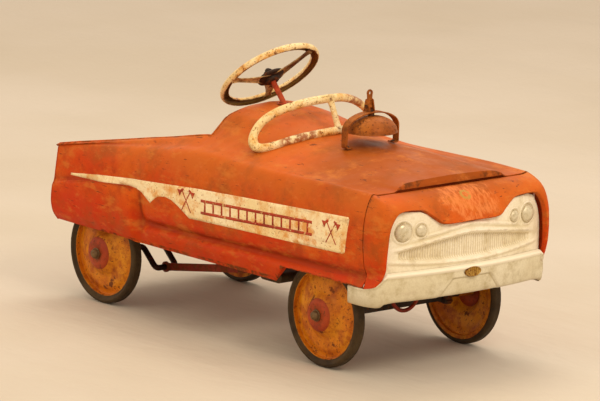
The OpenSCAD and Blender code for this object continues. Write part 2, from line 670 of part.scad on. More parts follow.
// pressed disc, from the hub outwards: [radius, distance outboard]
disc_line = [[8.5, 21], [22, 21], [29, 18], [40, 7], [46, 3.5], [68, 1.5], [74, -2], [disc_radius - 5, -3]];
tyre_in = disc_radius - 3.8;
module turned() rotate([-90, 0, 0]) rotate_extrude($fn = 72) children();
module wheel_disc() color("#B8701C") {
    rim = disc_radius - 5.6;
    turned() translate([axle_r + run, -hub_in]) square([4, hub_in + hub_out]);
    turned() strip(disc_line, disc_t);
    turned() polygon([[rim, -9], [rim + 7, -9], [rim + 7, -7.6], [rim + 1.6, -7.6], [rim + 1.6, 7.6],
                      [rim + 7, 7.6], [rim + 7, 9], [rim, 9]]);
}
module tyre() color("#2E2418") rotate([-90, 0, 0]) rotate_extrude($fn = 96) {
    half = tyre_width / 2;
    round_r = 7;
    difference() {
        union() {
            translate([tyre_in, -half + 2]) square([wheel_r - round_r - tyre_in, tyre_width - 4]);
            translate([wheel_r - round_r - 3, -half + round_r]) square([round_r + 3, tyre_width - 2 * round_r]);
            for (s = [-1, 1]) translate([wheel_r - round_r, s * (half - round_r)]) circle(r = round_r, $fn = 32);
            translate([disc_radius + 2, -half + 1]) square([6, tyre_width - 2]);
        }
        for (z = [-9.4, 7.2]) translate([tyre_in - 1, z]) square([disc_radius + 2.2 - tyre_in, 2.2]);
    }
}
cap_r = 9;
module cap() color("#3A2A1C") rotate([-90, 0, 0]) {
    translate([0, 0, hub_out + 0.3]) cylinder(r = cap_r, h = 5);
    translate([0, 0, hub_out + 5.3]) intersection() {
        translate([0, 0, -4.2]) sphere(r = cap_r + 1);
        cylinder(r = cap_r, h = 12);
    }
}
// places a wheel piece: end is 1 at the front, -1 at the rear; side is 1 at the left
module at_wheel(end, side) {
    translate([end > 0 ? front_x : rear_x, side * wheel_y, wheel_r])
        if (side > 0) children();
        else mirror([0, 1, 0]) children();
}
module disc_front_left() at_wheel(1, 1) wheel_disc();
module disc_front_right() at_wheel(1, -1) wheel_disc();
module disc_rear_left() at_wheel(-1, 1) wheel_disc();
module disc_rear_right() at_wheel(-1, -1) wheel_disc();
module tyre_front_left() at_wheel(1, 1) tyre();
module tyre_front_right() at_wheel(1, -1) tyre();
module tyre_rear_left() at_wheel(-1, 1) tyre();
module tyre_rear_right() at_wheel(-1, -1) tyre();
module cap_front_left() at_wheel(1, 1) cap();
module cap_front_right() at_wheel(1, -1) cap();
module cap_rear_left() at_wheel(-1, 1) cap();
module cap_rear_right() at_wheel(-1, -1) cap();

// ------------------------------------------------------------------ drive
web_in = 26;
web_out = 74;
bend_r = axle_r + 0.6;    // the rod is a little thicker at its bends
module crank_web(y, pin) {
    length = norm(pin - [rear_x, wheel_r]);
    translate([rear_x, y, wheel_r]) {
        rotate([0, 90 - atan2(pin[1] - wheel_r, pin[0] - rear_x), 0]) cylinder(r = axle_r, h = length);
        sphere(r = bend_r);
    }
    translate([pin[0], y, pin[1]]) sphere(r = bend_r);
}
module rear_axle() color("#3A3028") {
    for (s = [-1, 1]) {
        pin = s < 0 ? right_pin : left_pin;
        along_y(s * web_out, s * (wheel_y + hub_out), axle_r, rear_x, wheel_r);
        along_y(s * web_in, s * web_out, axle_r, pin[0], pin[1]);
        crank_web(s * web_in, pin);
        crank_web(s * web_out, pin);
        along_y(s * 124, s * (wheel_y - hub_in - gap), 8, rear_x, wheel_r);
    }
    along_y(-web_in, web_in, axle_r, rear_x, wheel_r);
}
strap_t2 = 4;
module strap_right() color("#8C2C16")
    link(right_pin, [pedal_x, pedal_z], 14, strap_t2, axle_r + run, pin_r + 0.3, -strap_y);
module strap_left() color("#8C2C16")
    link(left_pin, left_pedal, 14, strap_t2, axle_r + run, pin_r + 0.3, strap_y);
pedal_y0 = hanger_y + 6;
pedal_y1 = pedal_y0 + 68;
module pedal_hanger(s, foot) {
    link([hanger_x, hanger_z], foot, 15, 4, pin_r + run, 0, s * hanger_y);
    along_y(s * (hanger_y - 2), s * (pedal_y1 + 6), pin_r, foot[0], foot[1]);
    along_y(s * (pedal_y1 + 2), s * (pedal_y1 + 6), pin_r + 3, foot[0], foot[1]);
}
module hanger_right() color("#3A3028") pedal_hanger(-1, [pedal_x, pedal_z]);
module hanger_left() color("#3A3028") pedal_hanger(1, left_pedal);
// a rubber block on each side of the pedal's pin, on a steel-free tube
module pedal(s, foot) color("#201C18") {
    translate([foot[0], 0, foot[1]]) difference() {
        union() {
            translate([-21, s > 0 ? pedal_y0 : -pedal_y1, -9]) cube([42, pedal_y1 - pedal_y0, 18]);
            for (x = [-21, 21]) translate([x, s > 0 ? pedal_y0 : -pedal_y1, 0]) rotate([-90, 0, 0])
                cylinder(r = 9, h = pedal_y1 - pedal_y0);
        }
        along_y(-300, 300, pin_r + run, 0, 0);
    }
}
module pedal_right() pedal(-1, [pedal_x, pedal_z]);
module pedal_left() pedal(1, left_pedal);
rod_half = 72;
module pivot_rod() color("#3A3028") {
    along_y(-rod_half, rod_half, pin_r, hanger_x, hanger_z);
    for (s = [-1, 1]) along_y(s * (hanger_y + 2.5), s * (hanger_y + 4), 8, hanger_x, hanger_z);
}
ear_y = 50;
module pivot_bracket() color("#3A3028") difference() {
    union() {
        for (s = [-1, 1]) translate([hanger_x - 14, s * ear_y - 1.5, hanger_z - 10]) cube([28, 3, 42]);
        translate([hanger_x - 14, -ear_y, hanger_z + 30]) cube([28, 2 * ear_y, 2]);
    }
    along_y(-80, 80, pin_r + 0.02, hanger_x, hanger_z);
}

// ------------------------------------------------------------------ frame
rear_rail_y = 120;
rear_rail_x0 = -440;
rear_rail_x1 = -70;
rear_rail_z = 158;
module rear_rails() color("#3A3028") both_sides()
    translate([rear_rail_x0, rear_rail_y - 1.5, rear_rail_z]) cube([rear_rail_x1 - rear_rail_x0, 3, rail_h]);
module rail_brackets() color("#3A3028") both_sides()
    for (x = [-444, -100]) translate([x, rear_rail_y - 10, rear_rail_z + rail_h + 0.1]) cube([24, 77, 2.5]);
module axle_hanger() difference() {
    union() {
        translate([rear_x - 14, rear_rail_y - 1.6 - 3, wheel_r]) cube([28, 3, rear_rail_z + rail_h - wheel_r]);
        translate([rear_x, rear_rail_y - 1.6 - 3, wheel_r]) rotate([-90, 0, 0]) cylinder(r = 14, h = 3);
    }
    along_y(0, 300, axle_r + run, rear_x, wheel_r);
}
module axle_hanger_left() color("#3A3028") axle_hanger();
module axle_hanger_right() color("#3A3028") mirror([0, 1, 0]) axle_hanger();
front_rail_x0 = 136;
front_rail_x1 = 396;
front_rail_z = 152;
cross_x0 = 171;
cross_x1 = 370;
module front_rails() color("#3A3028") both_sides()
    translate([front_rail_x0, rail_y - 1.5, front_rail_z]) cube([front_rail_x1 - front_rail_x0, 3, rail_h]);
module cross_bars() color("#3A3028")
    for (x = [cross_x0, cross_x1]) translate([x, -187, front_rail_z + rail_h + 0.1]) cube([24, 374, 2.5]);
module beam_drops() color("#3A3028") both_sides()
    translate([front_x - 12, rail_y - 1.6 - 3, beam_z1 + 0.1]) cube([24, 3, front_rail_z + rail_h - beam_z1 - 0.1]);

// ------------------------------------------------------------------ small fixings
module dome_head(r, h) {
    intersection() {
        translate([0, 0, h - (r * r + h * h) / (2 * h)]) sphere(r = (r * r + h * h) / (2 * h));
        cylinder(r = r, h = h + 1);
    }
}
module bracket_rivets() color("#5A3A20")
    for (s = [-1, 1]) translate([bell_x, s * (arch_half - 8), foot_z + strap_t + 0.1]) dome_head(4, 2.2);
module rail_bolts() color("#5A3A20") {
    for (s = [-1, 1], z = [rear_rail_z + 6, rear_rail_z + 16])
        along_y(s * (rear_rail_y - 4.7), s * (rear_rail_y - 7.7), 4.5, rear_x, z);
    for (s = [-1, 1], z = [front_rail_z + 6, front_rail_z + 16])
        along_y(s * (rail_y - 4.7), s * (rail_y - 7.7), 4.5, front_x, z);
    for (s = [-1, 1], x = [cross_x0 + 12, cross_x1 + 12])
        translate([x, s * 170, front_rail_z + rail_h + 2.7]) cylinder(r = 5, h = 4, $fn = 6);
}

// ------------------------------------------------------------------ drawing
body_shell();
front_clip();
grille_panel();
bumper();
badge();
tail_panel();
seat();
windshield_frame();
bell_bracket();
bell();
bell_bolt();
bell_lever();
lever_pin();
bracket_rivets();
steering_wheel();
steering_nut();
steering_shaft();
column_boss();
column_bar();
column_loop();
tie_rod();
front_beam();
spindle_left();
spindle_right();
disc_front_left();
disc_front_right();
disc_rear_left();
disc_rear_right();
tyre_front_left();
tyre_front_right();
tyre_rear_left();
tyre_rear_right();
cap_front_left();
cap_front_right();
cap_rear_left();
cap_rear_right();
rear_axle();
strap_left();
strap_right();
hanger_left();
hanger_right();
pedal_left();
pedal_right();
pivot_rod();
pivot_bracket();
rear_rails();
rail_brackets();
axle_hanger_left();
axle_hanger_right();
front_rails();
cross_bars();
beam_drops();
rail_bolts();
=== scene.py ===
import math

import bmesh
import bpy
import numpy as np
from mathutils import Matrix, Vector


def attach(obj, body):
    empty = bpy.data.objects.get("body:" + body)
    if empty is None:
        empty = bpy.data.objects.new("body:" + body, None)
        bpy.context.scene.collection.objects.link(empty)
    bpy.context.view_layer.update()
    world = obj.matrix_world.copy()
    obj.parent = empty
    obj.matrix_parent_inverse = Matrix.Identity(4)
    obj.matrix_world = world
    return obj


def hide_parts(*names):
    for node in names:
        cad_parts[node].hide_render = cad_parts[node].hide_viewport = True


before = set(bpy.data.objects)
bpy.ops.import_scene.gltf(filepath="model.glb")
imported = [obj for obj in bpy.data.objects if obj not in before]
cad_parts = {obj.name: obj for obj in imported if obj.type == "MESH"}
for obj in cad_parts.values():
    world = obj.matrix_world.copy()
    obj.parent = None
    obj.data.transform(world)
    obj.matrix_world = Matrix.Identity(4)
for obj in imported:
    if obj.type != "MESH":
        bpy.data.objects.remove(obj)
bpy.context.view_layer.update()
MM = 0.001

# ---------------------------------------------------------------- materials


def colour(code):
    """The linear colour of a six digit sRGB code."""
    values = [int(code[i : i + 2], 16) / 255 for i in (0, 2, 4)]
    linear = [v / 12.92 if v <= 0.04045 else ((v + 0.055) / 1.055) ** 2.4 for v in values]
    return [*linear, 1.0]


class Graph:
    """A material's nodes, with one short call for each kind used here."""

    def __init__(self, name):
        self.material = bpy.data.materials.new(name)
        self.material.use_nodes = True
        self.tree = self.material.node_tree
        self.tree.nodes.clear()
        self.shader = self.add("ShaderNodeBsdfPrincipled")
        output = self.add("ShaderNodeOutputMaterial")
        self.tree.links.new(self.shader.outputs["BSDF"], output.inputs["Surface"])
        self.place = self.add("ShaderNodeTexCoord").outputs["Object"]
        self.pointiness = self.add("ShaderNodeNewGeometry").outputs["Pointiness"]

    def add(self, kind, **settings):
        node = self.tree.nodes.new(kind)
        for key, value in settings.items():
            setattr(node, key, value)
        return node

    def feed(self, socket, value):
        if isinstance(value, bpy.types.NodeSocket):
            self.tree.links.new(value, socket)
        else:
            socket.default_value = value

    def math(self, operation, a, b=0.0):
        node = self.add("ShaderNodeMath", operation=operation)
        self.feed(node.inputs[0], a)
        self.feed(node.inputs[1], b)
        return node.outputs[0]

    def noise(self, scale, detail=5.0, rough=0.6, stretch=(1, 1, 1), shift=0.0):
        mapping = self.add("ShaderNodeMapping")
        self.feed(mapping.inputs["Vector"], self.place)
        mapping.inputs["Scale"].default_value = stretch
        mapping.inputs["Location"].default_value = (shift, shift * 0.7, shift * 0.3)
        node = self.add("ShaderNodeTexNoise")
        self.feed(node.inputs["Vector"], mapping.outputs[0])
        node.inputs["Scale"].default_value = scale
        node.inputs["Detail"].default_value = detail
        node.inputs["Roughness"].default_value = rough
        return node.outputs["Fac"]

    def fade(self, value, low, high, to_low=0.0, to_high=1.0):
        node = self.add("ShaderNodeMapRange", interpolation_type="SMOOTHSTEP")
        self.feed(node.inputs[0], value)
        for socket, number in zip(list(node.inputs)[1:5], (low, high, to_low, to_high)):
            socket.default_value = number
        return node.outputs[0]

    def mix(self, factor, a, b):
        node = self.add("ShaderNodeMix", data_type="RGBA")
        self.feed(node.inputs[0], factor)
        self.feed(node.inputs[6], a)
        self.feed(node.inputs[7], b)
        return node.outputs[2]

    def attribute(self, name):
        return self.add("ShaderNodeAttribute", attribute_name=name).outputs["Fac"]

    def distance(self, point, squash=(1, 1, 1)):
        """Distance of the surface from a point, in millimetres, each axis divided by squash."""
        move = self.add("ShaderNodeVectorMath", operation="SUBTRACT")
        self.feed(move.inputs[0], self.place)
        move.inputs[1].default_value = [v * MM for v in point]
        scale = self.add("ShaderNodeVectorMath", operation="MULTIPLY")
        self.feed(scale.inputs[0], move.outputs[0])
        scale.inputs[1].default_value = [1 / (v * MM) for v in squash]
        length = self.add("ShaderNodeVectorMath", operation="LENGTH")
        self.feed(length.inputs[0], scale.outputs[0])
        return length.outputs["Value"]

    def height(self):
        """Height above the floor, in millimetres."""
        return self.distance((0, 0, 0), squash=(1e6, 1e6, 1))

    def tint(self, tone, amount, code):
        """The tone turned towards another colour by an amount."""
        return self.mix(amount, tone, colour(code))

    def bump(self, height, depth):
        node = self.add("ShaderNodeBump")
        node.inputs["Strength"].default_value = 1.0
        node.inputs["Distance"].default_value = depth * MM
        self.feed(node.inputs["Height"], height)
        self.feed(self.shader.inputs["Normal"], node.outputs[0])


RUST_DARK = colour("43200E")
RUST_LIGHT = colour("8A4A1C")


def worn(name, main, light, dark, patch=7.0, chips=0.66, edges=1.0, specks=0.70, streaks=0.0,
         gloss=(0.38, 0.62), depth=0.35, rust=(RUST_DARK, RUST_LIGHT), metallic=0.0, sheen=0.25,
         finish=None):
    """Old paint or metal: colour patches, chips, fine specks, worn edges, painted shade in hollows, uneven
    gloss and dents.
    A smaller number for chips or specks gives more of them. finish(graph, colour) adds local marks."""
    g = Graph(name)
    broad = g.fade(g.noise(patch, 4, 0.55), 0.36, 0.64)
    cloudy = g.fade(g.noise(patch * 5, 6, 0.65, shift=3.1), 0.45, 0.75, 0.0, 0.75)
    tone = g.mix(broad, colour(main), colour(light))
    tone = g.tint(tone, cloudy, dark)
    fine = g.noise(patch * 45, 3, 0.6, shift=1.7)
    tone = g.tint(tone, g.fade(fine, 0.35, 0.7, 0.0, 0.22), dark)
    if streaks:
        run = g.noise(26, 5, 0.6, stretch=(0.35, 0.35, 2.4), shift=5.3)
        tone = g.mix(g.fade(run, 0.55, 0.75, 0.0, streaks), tone, RUST_LIGHT)
    if finish:
        tone = finish(g, tone)
    # painted shade: darker where the surface curves inwards, in creases and hollows
    crease = g.fade(g.pointiness, 0.497, 0.47, 0.0, 0.6)
    tone = g.tint(tone, crease, dark)
    flakes = g.fade(g.noise(38, 9, 0.72, shift=0.9), chips, chips + 0.035)
    dots = g.fade(g.noise(210, 4, 0.6, shift=2.3), specks, specks + 0.04)
    edge = g.fade(g.pointiness, 0.515, 0.57)
    broken = g.fade(g.noise(70, 7, 0.7, shift=4.4), 0.40, 0.62)
    worn_edge = g.math("MULTIPLY", g.math("MULTIPLY", edge, broken), edges)
    bare = g.math("MAXIMUM", g.math("MAXIMUM", flakes, dots), worn_edge)
    rust_tone = g.mix(g.noise(320, 4, 0.6, shift=6.0), rust[0], rust[1])
    g.feed(g.shader.inputs["Base Color"], g.mix(bare, tone, rust_tone))
    shine = g.fade(g.noise(patch * 3, 6, 0.6, shift=7.7), 0.3, 0.7, gloss[0], gloss[1])
    rough = g.math("ADD", shine, g.math("MULTIPLY", bare, 0.3))
    g.feed(g.shader.inputs["Roughness"], rough)
    g.shader.inputs["Metallic"].default_value = metallic
    g.shader.inputs["Specular IOR Level"].default_value = sheen
    dents = g.math("MULTIPLY", g.noise(14, 3, 0.5, shift=8.8), 2.2)
    grain = g.math("MULTIPLY", g.noise(420, 3, 0.6, shift=9.1), 0.14)
    relief = g.math("SUBTRACT", g.math("ADD", dents, grain), g.math("MULTIPLY", bare, 0.35))
    g.bump(relief, depth)
    return g.material


def body_marks(g, tone):
    """Fresher red between the fins and on the hump, painted shade in the flank's creases, brown patina on the
    flanks, and the faded nose.
    """
    tone = g.tint(tone, g.math("MULTIPLY", g.attribute("fresh"), 0.8), "BE2E02")
    # painted shade: darker red in the flank's creases and under the rear bulge's ledge
    tone = g.tint(tone, g.math("MULTIPLY", g.attribute("painted_shade"), 0.75), "6E2206")
    blotches = g.fade(g.noise(9, 5, 0.6, shift=10.0), 0.2, 0.6, 0.5, 0.9)
    tone = g.tint(tone, g.math("MULTIPLY", g.fade(g.height(), 255, 325), blotches), "BE5E1A")
    hood = g.distance((300, 0, 345), (170, 210, 60))
    tone = g.tint(tone, g.fade(hood, 1.15, 0.7, 0.0, 0.8), "9A4A10")
    soot = g.noise(11, 7, 0.68, shift=12.0)
    tone = g.tint(tone, g.fade(soot, 0.48, 0.68, 0.0, 0.6), "8E4A16")
    sallow = g.noise(19, 7, 0.7, stretch=(0.8, 1.0, 1.8), shift=13.0)
    tone = g.tint(tone, g.fade(sallow, 0.50, 0.66, 0.0, 0.55), "C8742A")
    scuffs = g.noise(16, 8, 0.7, stretch=(3.2, 1.0, 7.0), shift=14.0)
    tone = g.tint(tone, g.fade(scuffs, 0.58, 0.68, 0.0, 0.35), "CE7434")
    scratches = g.noise(60, 4, 0.75, stretch=(0.5, 1.0, 4.0), shift=21.0)
    tone = g.tint(tone, g.fade(scratches, 0.63, 0.67, 0.0, 0.8), "5A2A12")
    near_nose = g.distance((436, 6, 310), (34, 62, 55))
    ragged = g.math("ADD", near_nose, g.math("MULTIPLY", g.noise(26, 8, 0.7), 2.4))
    brushed = g.fade(g.noise(70, 6, 0.7, stretch=(0.6, 2.0, 1.0), shift=17.0), 0.36, 0.60)
    rubbed = g.math("MULTIPLY", g.fade(ragged, 2.35, 1.95, 0.0, 0.75), brushed)
    tone = g.tint(tone, rubbed, "DC8044")
    ring = g.distance((433, 4, 314), (9.5, 12, 60))
    band = g.math("ABSOLUTE", g.math("SUBTRACT", ring, 0.75))
    faded = g.math("MULTIPLY", g.fade(band, 0.30, 0.14), g.fade(g.noise(120, 6, 0.7), 0.34, 0.52))
    return g.tint(tone, g.math("MULTIPLY", faded, 0.75), "A98A3E")


def bumper_highlight_and_low_tone(g, tone):
    """Painted highlight along the bumper's upper bead; darker, greyer tone low down."""
    tone = g.tint(tone, g.fade(g.height(), 160, 140, 0.0, 0.5), "A89470")
    # painted highlight: the upper bead lighter, as where light from above catches it
    return g.tint(tone, g.fade(g.height(), 190, 194, 0.0, 0.85), "F4EBD6")


def cream_marks(g, tone):
    """Brown rust blooms with an ochre halo."""
    bloom = g.noise(24, 7, 0.7, shift=31.0)
    tone = g.tint(tone, g.fade(bloom, 0.49, 0.62, 0.0, 0.8), "D9962E")
    tone = g.tint(tone, g.fade(bloom, 0.58, 0.67, 0.0, 0.9), "84400F")
    pits = g.noise(150, 5, 0.7, shift=33.0)
    tone = g.tint(tone, g.fade(pits, 0.56, 0.62, 0.0, 0.75), "8A5A1C")
    patchy = g.fade(g.noise(75, 6, 0.7, shift=35.0), 0.38, 0.54)
    for place, size in (((84, -78, 368), (26, 42, 26)), ((48, 78, 418), (26, 36, 26))):
        near = g.fade(g.distance(place, size), 1.15, 0.75, 0.0, 0.9)
        tone = g.tint(tone, g.math("MULTIPLY", near, patchy), "94480E")
    return tone


def wheel_marks(g, tone):
    """Rust blooms over the yellow of the wheel."""
    bloom = g.noise(30, 8, 0.7, shift=41.0)
    tone = g.tint(tone, g.fade(bloom, 0.45, 0.62, 0.0, 0.8), "A04A0C")
    return g.tint(tone, g.fade(bloom, 0.58, 0.72, 0.0, 0.8), "5E2A0C")


def hollow_shade(g, tone):
    """Painted shade: the hollow underside darkened to a dark brown."""
    return g.tint(tone, g.math("MULTIPLY", g.attribute("under"), 0.93), "3A1C0C")


def decal_marks(g, tone):
    """Orange stains on the side stripe, with rusty pinholes in them."""
    stain = g.noise(17, 7, 0.72, shift=41.0)
    tone = g.tint(tone, g.fade(stain, 0.50, 0.64, 0.0, 0.85), "D98A28")
    pinholes = g.fade(g.noise(170, 5, 0.7, shift=43.0), 0.60, 0.66)
    return g.tint(tone, g.math("MULTIPLY", pinholes, 0.8), "9A5418")


def rim_marks(g, tone):
    return hollow_shade(g, cream_marks(g, tone))


RED = worn("red_enamel", "C63A02", "CE5A0E", "9A2E04", streaks=0.25, finish=body_marks,
           gloss=(0.42, 0.66), chips=0.71, specks=0.74, sheen=0.12, depth=0.45)
WHITE = worn("white_enamel", "E8DDC2", "F2EAD6", "C8B68E", chips=0.72, specks=0.745, edges=0.5,
             streaks=0.12, gloss=(0.25, 0.45))
BUMPER = worn("bumper_enamel", "D0C4A4", "DAD0B6", "A8966C", chips=0.72, specks=0.745, edges=0.5,
              streaks=0.12, gloss=(0.28, 0.5), finish=bumper_highlight_and_low_tone)
LAMP = worn("tarnished_lamp", "D0C4A6", "E2D8C0", "A4946E", patch=30, chips=0.72, specks=0.73, edges=0.1,
            gloss=(0.22, 0.4), depth=0.2, metallic=0.25)
CREAM = worn("cream_enamel", "E6CB8C", "EFDDAE", "CC9A44", chips=0.61, specks=0.645, streaks=0.2,
             finish=cream_marks, gloss=(0.32, 0.55))
RIM = worn("wheel_rim_enamel", "E2C486", "ECD8A6", "C8943E", chips=0.61, specks=0.64,
           finish=rim_marks, gloss=(0.32, 0.55))
DECAL = worn("cream_stripe", "F0D8A0", "F6E6BE", "DCA04C", chips=0.69, specks=0.685, edges=0.0,
             streaks=0.45, finish=decal_marks, gloss=(0.34, 0.5), depth=0.2)
MOTIF = worn("stripe_motif", "A8300F", "B8401A", "7A2408", chips=0.60, specks=0.62, edges=0.0,
             gloss=(0.35, 0.5), depth=0.2, rust=(colour("E2C48C"), colour("C99A50")))
YELLOW = worn("wheel_enamel", "CC740A", "D68C14", "A04C06", patch=14, chips=0.60, specks=0.62,
              finish=wheel_marks, gloss=(0.42, 0.65), depth=0.5)
BOSS = worn("boss_enamel", "98320C", "A84012", "642008", patch=20, chips=0.60, specks=0.62,
            gloss=(0.4, 0.6), depth=0.5)
RUSTY = worn("rusty_steel", "9A5016", "B2661E", "5E3010", patch=16, chips=0.60, specks=0.60,
             gloss=(0.48, 0.72), depth=0.6, metallic=0.35)
DARK = worn("dark_steel", "2C211A", "3C2C20", "1A120D", patch=18, chips=0.60, specks=0.62,
            gloss=(0.42, 0.68), depth=0.6, metallic=0.3)
CAP = worn("cap_steel", "6A5236", "866C4A", "3C2C1C", patch=24, chips=0.62, specks=0.64,
           gloss=(0.35, 0.6), metallic=0.5)
MAROON = worn("dark_red_enamel", "8C2410", "9E3418", "4E160A", patch=18, chips=0.60, specks=0.62,
              gloss=(0.38, 0.6), depth=0.5)
COLUMN = worn("column_enamel", "B23414", "C04A22", "7A220C", patch=18, chips=0.64, specks=0.66,
              gloss=(0.38, 0.6), depth=0.5)
RUBBER = worn("tyre_rubber", "3A2A16", "4A381F", "241A0E", patch=16, chips=0.9, specks=0.9, edges=0.25,
              gloss=(0.62, 0.85), depth=0.5, rust=(colour("5A4630"), colour("7A6244")))
SPOKE = worn("spoke_enamel", "5A3620", "D8B478", "2A1810", patch=20, chips=0.58, specks=0.60,
             gloss=(0.45, 0.65), depth=0.5)
BADGE = worn("tarnished_badge", "B08434", "C8A050", "5E3A18", patch=60, chips=0.60, specks=0.6,
             gloss=(0.3, 0.5), depth=0.2, metallic=0.6)

# ------------------------------------------------------------------- meshes
SIDES = ((-1, "right"), (1, "left"))
FULL_TURN = 2 * math.pi


def piece(name, shape, body, material, replaces=(), sheet=0.0, bevel=0.0, flip=False, values=None):
    """A mesh piece from (points, faces). sheet gives it a thickness, inwards from its faces.
    values holds a number for each point under the name that a material reads it by."""
    verts, faces = shape
    mesh = bpy.data.meshes.new(name)
    mesh.from_pydata([tuple(c * MM for c in p) for p in verts], [], faces)
    for key, numbers in (values or {}).items():
        mesh.attributes.new(key, "FLOAT", "POINT").data.foreach_set("value", numbers)
    bm = bmesh.new()
    bm.from_mesh(mesh)
    bmesh.ops.remove_doubles(bm, verts=bm.verts, dist=1e-6)
    if sheet == 0:
        bmesh.ops.recalc_face_normals(bm, faces=bm.faces)
    elif flip:
        bmesh.ops.reverse_faces(bm, faces=bm.faces)
    bm.to_mesh(mesh)
    bm.free()
    mesh.polygons.foreach_set("use_smooth", [True] * len(mesh.polygons))
    mesh.set_sharp_from_angle(angle=math.radians(50))
    mesh.materials.append(material)
    obj = bpy.data.objects.new(name, mesh)
    bpy.context.scene.collection.objects.link(obj)
    if sheet:
        solid = obj.modifiers.new("thickness", "SOLIDIFY")
        solid.thickness = sheet * MM
        solid.offset = -1
        solid.use_even_offset = True
    if bevel:
        soft = obj.modifiers.new("soft edges", "BEVEL")
        soft.width = bevel * MM
        soft.segments = 2
        soft.limit_method = "ANGLE"
        soft.angle_limit = math.radians(40)
    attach(obj, body)
    if replaces:
        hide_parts(*replaces)
    return obj


def grid_faces(rows, cols, keep=None, closed_rows=False, closed_cols=False):
    """Quads of a grid of points; a closed direction joins its last line to its first."""
    made = []
    for i in range(rows if closed_rows else rows - 1):
        for j in range(cols if closed_cols else cols - 1):
            if keep and not keep(i, j):
                continue
            k, m = (i + 1) % rows, (j + 1) % cols
            made.append((i * cols + j, k * cols + j, k * cols + m, i * cols + m))
    return made


def surface(rows):
    """Points and faces of a grid given row by row."""
    return [p for row in rows for p in row], grid_faces(len(rows), len(rows[0]))


def repaint(obj, material, belongs):
    """Gives a second material to the faces whose middle, in millimetres, passes a test."""
    obj.data.materials.append(material)
    for polygon in obj.data.polygons:
        if belongs(*(polygon.center / MM)):
            polygon.material_index = 1


def basis(direction):
    """Two unit vectors square to a direction."""
    d = Vector(direction).normalized()
    side = Vector((1, 0, 0)) if abs(d.y) > 0.9 else Vector((0, 1, 0))
    u = d.cross(side).normalized()
    return u, d.cross(u)


def ring(middle, u, w, wide, high, sides):
    """Points round an ellipse with its half axes along u and w."""
    angles = [FULL_TURN * s / sides for s in range(sides)]
    return [middle + u * (wide * math.cos(a)) + w * (high * math.sin(a)) for a in angles]


def capped(count, sides):
    """Faces over a row of rings and on its two ends."""
    last = (count - 1) * sides
    ends = [tuple(range(sides)), tuple(range(last, last + sides))]
    return grid_faces(count, sides, closed_cols=True) + ends


def direction_at(path, i):
    """Unit vector along a path of Vectors at its point i."""
    return (path[min(i + 1, len(path) - 1)] - path[max(i - 1, 0)]).normalized()


def tube(path, radii, sides):
    """A round bar along a nearly straight path, with a radius for each point."""
    path = [Vector(p) for p in path]
    verts = []
    for i, (p, r) in enumerate(zip(path, radii)):
        u, w = basis(direction_at(path, i))
        verts += ring(p, u, w, r, r, sides)
    return verts, capped(len(path), sides)


def bent_bar(path, radius, sides):
    """A round bar whose ring of points doesn't twist as the path turns."""
    path = [Vector(p) for p in path]
    u = basis(path[1] - path[0])[0]
    verts = []
    for i, p in enumerate(path):
        along = direction_at(path, i)
        u = (u - along * u.dot(along)).normalized()
        verts += ring(p, u, along.cross(u), radius, radius, sides)
    return verts, capped(len(path), sides)


def lathe(profile, centre, axis, steps=96, closed=True):
    """A turned shape. profile holds (radius, distance along the axis); closed joins its ends."""
    u, w = basis(axis)
    axis = Vector(axis).normalized()
    centre = Vector(centre)
    verts = []
    for s in range(steps):
        a = FULL_TURN * s / steps
        out = u * math.cos(a) + w * math.sin(a)
        verts += [centre + out * r + axis * h for r, h in profile]
    return verts, grid_faces(steps, len(profile), closed_rows=True, closed_cols=closed)


def join(*parts):
    """Several (points, faces) as one."""
    verts, faces = [], []
    for v, f in parts:
        faces += [tuple(i + len(verts) for i in face) for face in f]
        verts += list(v)
    return verts, faces


def slab_faces(n):
    """Faces of two equal outlines of n points and of the wall between them."""
    wall = [(k, k + n, (k + 1) % n + n, (k + 1) % n) for k in range(n)]
    return [tuple(range(n)), tuple(range(2 * n - 1, n - 1, -1))] + wall


def plate(outline, y0, y1):
    """A flat plate with an outline in the XZ plane, between two values of y."""
    return [(x, y, z) for y in (y0, y1) for x, z in outline], slab_faces(len(outline))


def arc(centre, radii, start, stop, count):
    """Points on part of an ellipse, from one angle in radians to another."""
    (x, y), (wide, high) = centre, radii
    return [(x + wide * math.cos(a), y + high * math.sin(a)) for a in np.linspace(start, stop, count)]


def whole(half):
    """Half an outline with its mirrored other half; y is each point's last number but one."""
    return half + [(*p[:-2], -p[-2], p[-1]) for p in reversed(half[:-1])]


def rounded(points, radius, steps=5):
    """A run of points with its corners rounded."""
    out = [points[0]]
    for a, b, c in zip(points, points[1:], points[2:]):
        a, b, c = Vector(a), Vector(b), Vector(c)
        r = min(radius, (a - b).length / 2.01, (c - b).length / 2.01)
        p, q = b + (a - b).normalized() * r, b + (c - b).normalized() * r
        for s in range(steps + 1):
            t = s / steps
            out.append(tuple(p * (1 - t) ** 2 + b * (2 * t * (1 - t)) + q * t * t))
    out.append(points[-1])
    return out


def subdivided(line, spacing, whole_number=math.ceil):
    """A run of 2-D points with extra ones about a spacing apart; whole_number rounds each stretch's count."""
    out = []
    for a, b in zip(line, line[1:]):
        a, b = Vector(a), Vector(b)
        count = max(1, whole_number((b - a).length / spacing))
        out += [tuple(a + (b - a) * (k / count)) for k in range(count)]
    return out + [tuple(line[-1])]


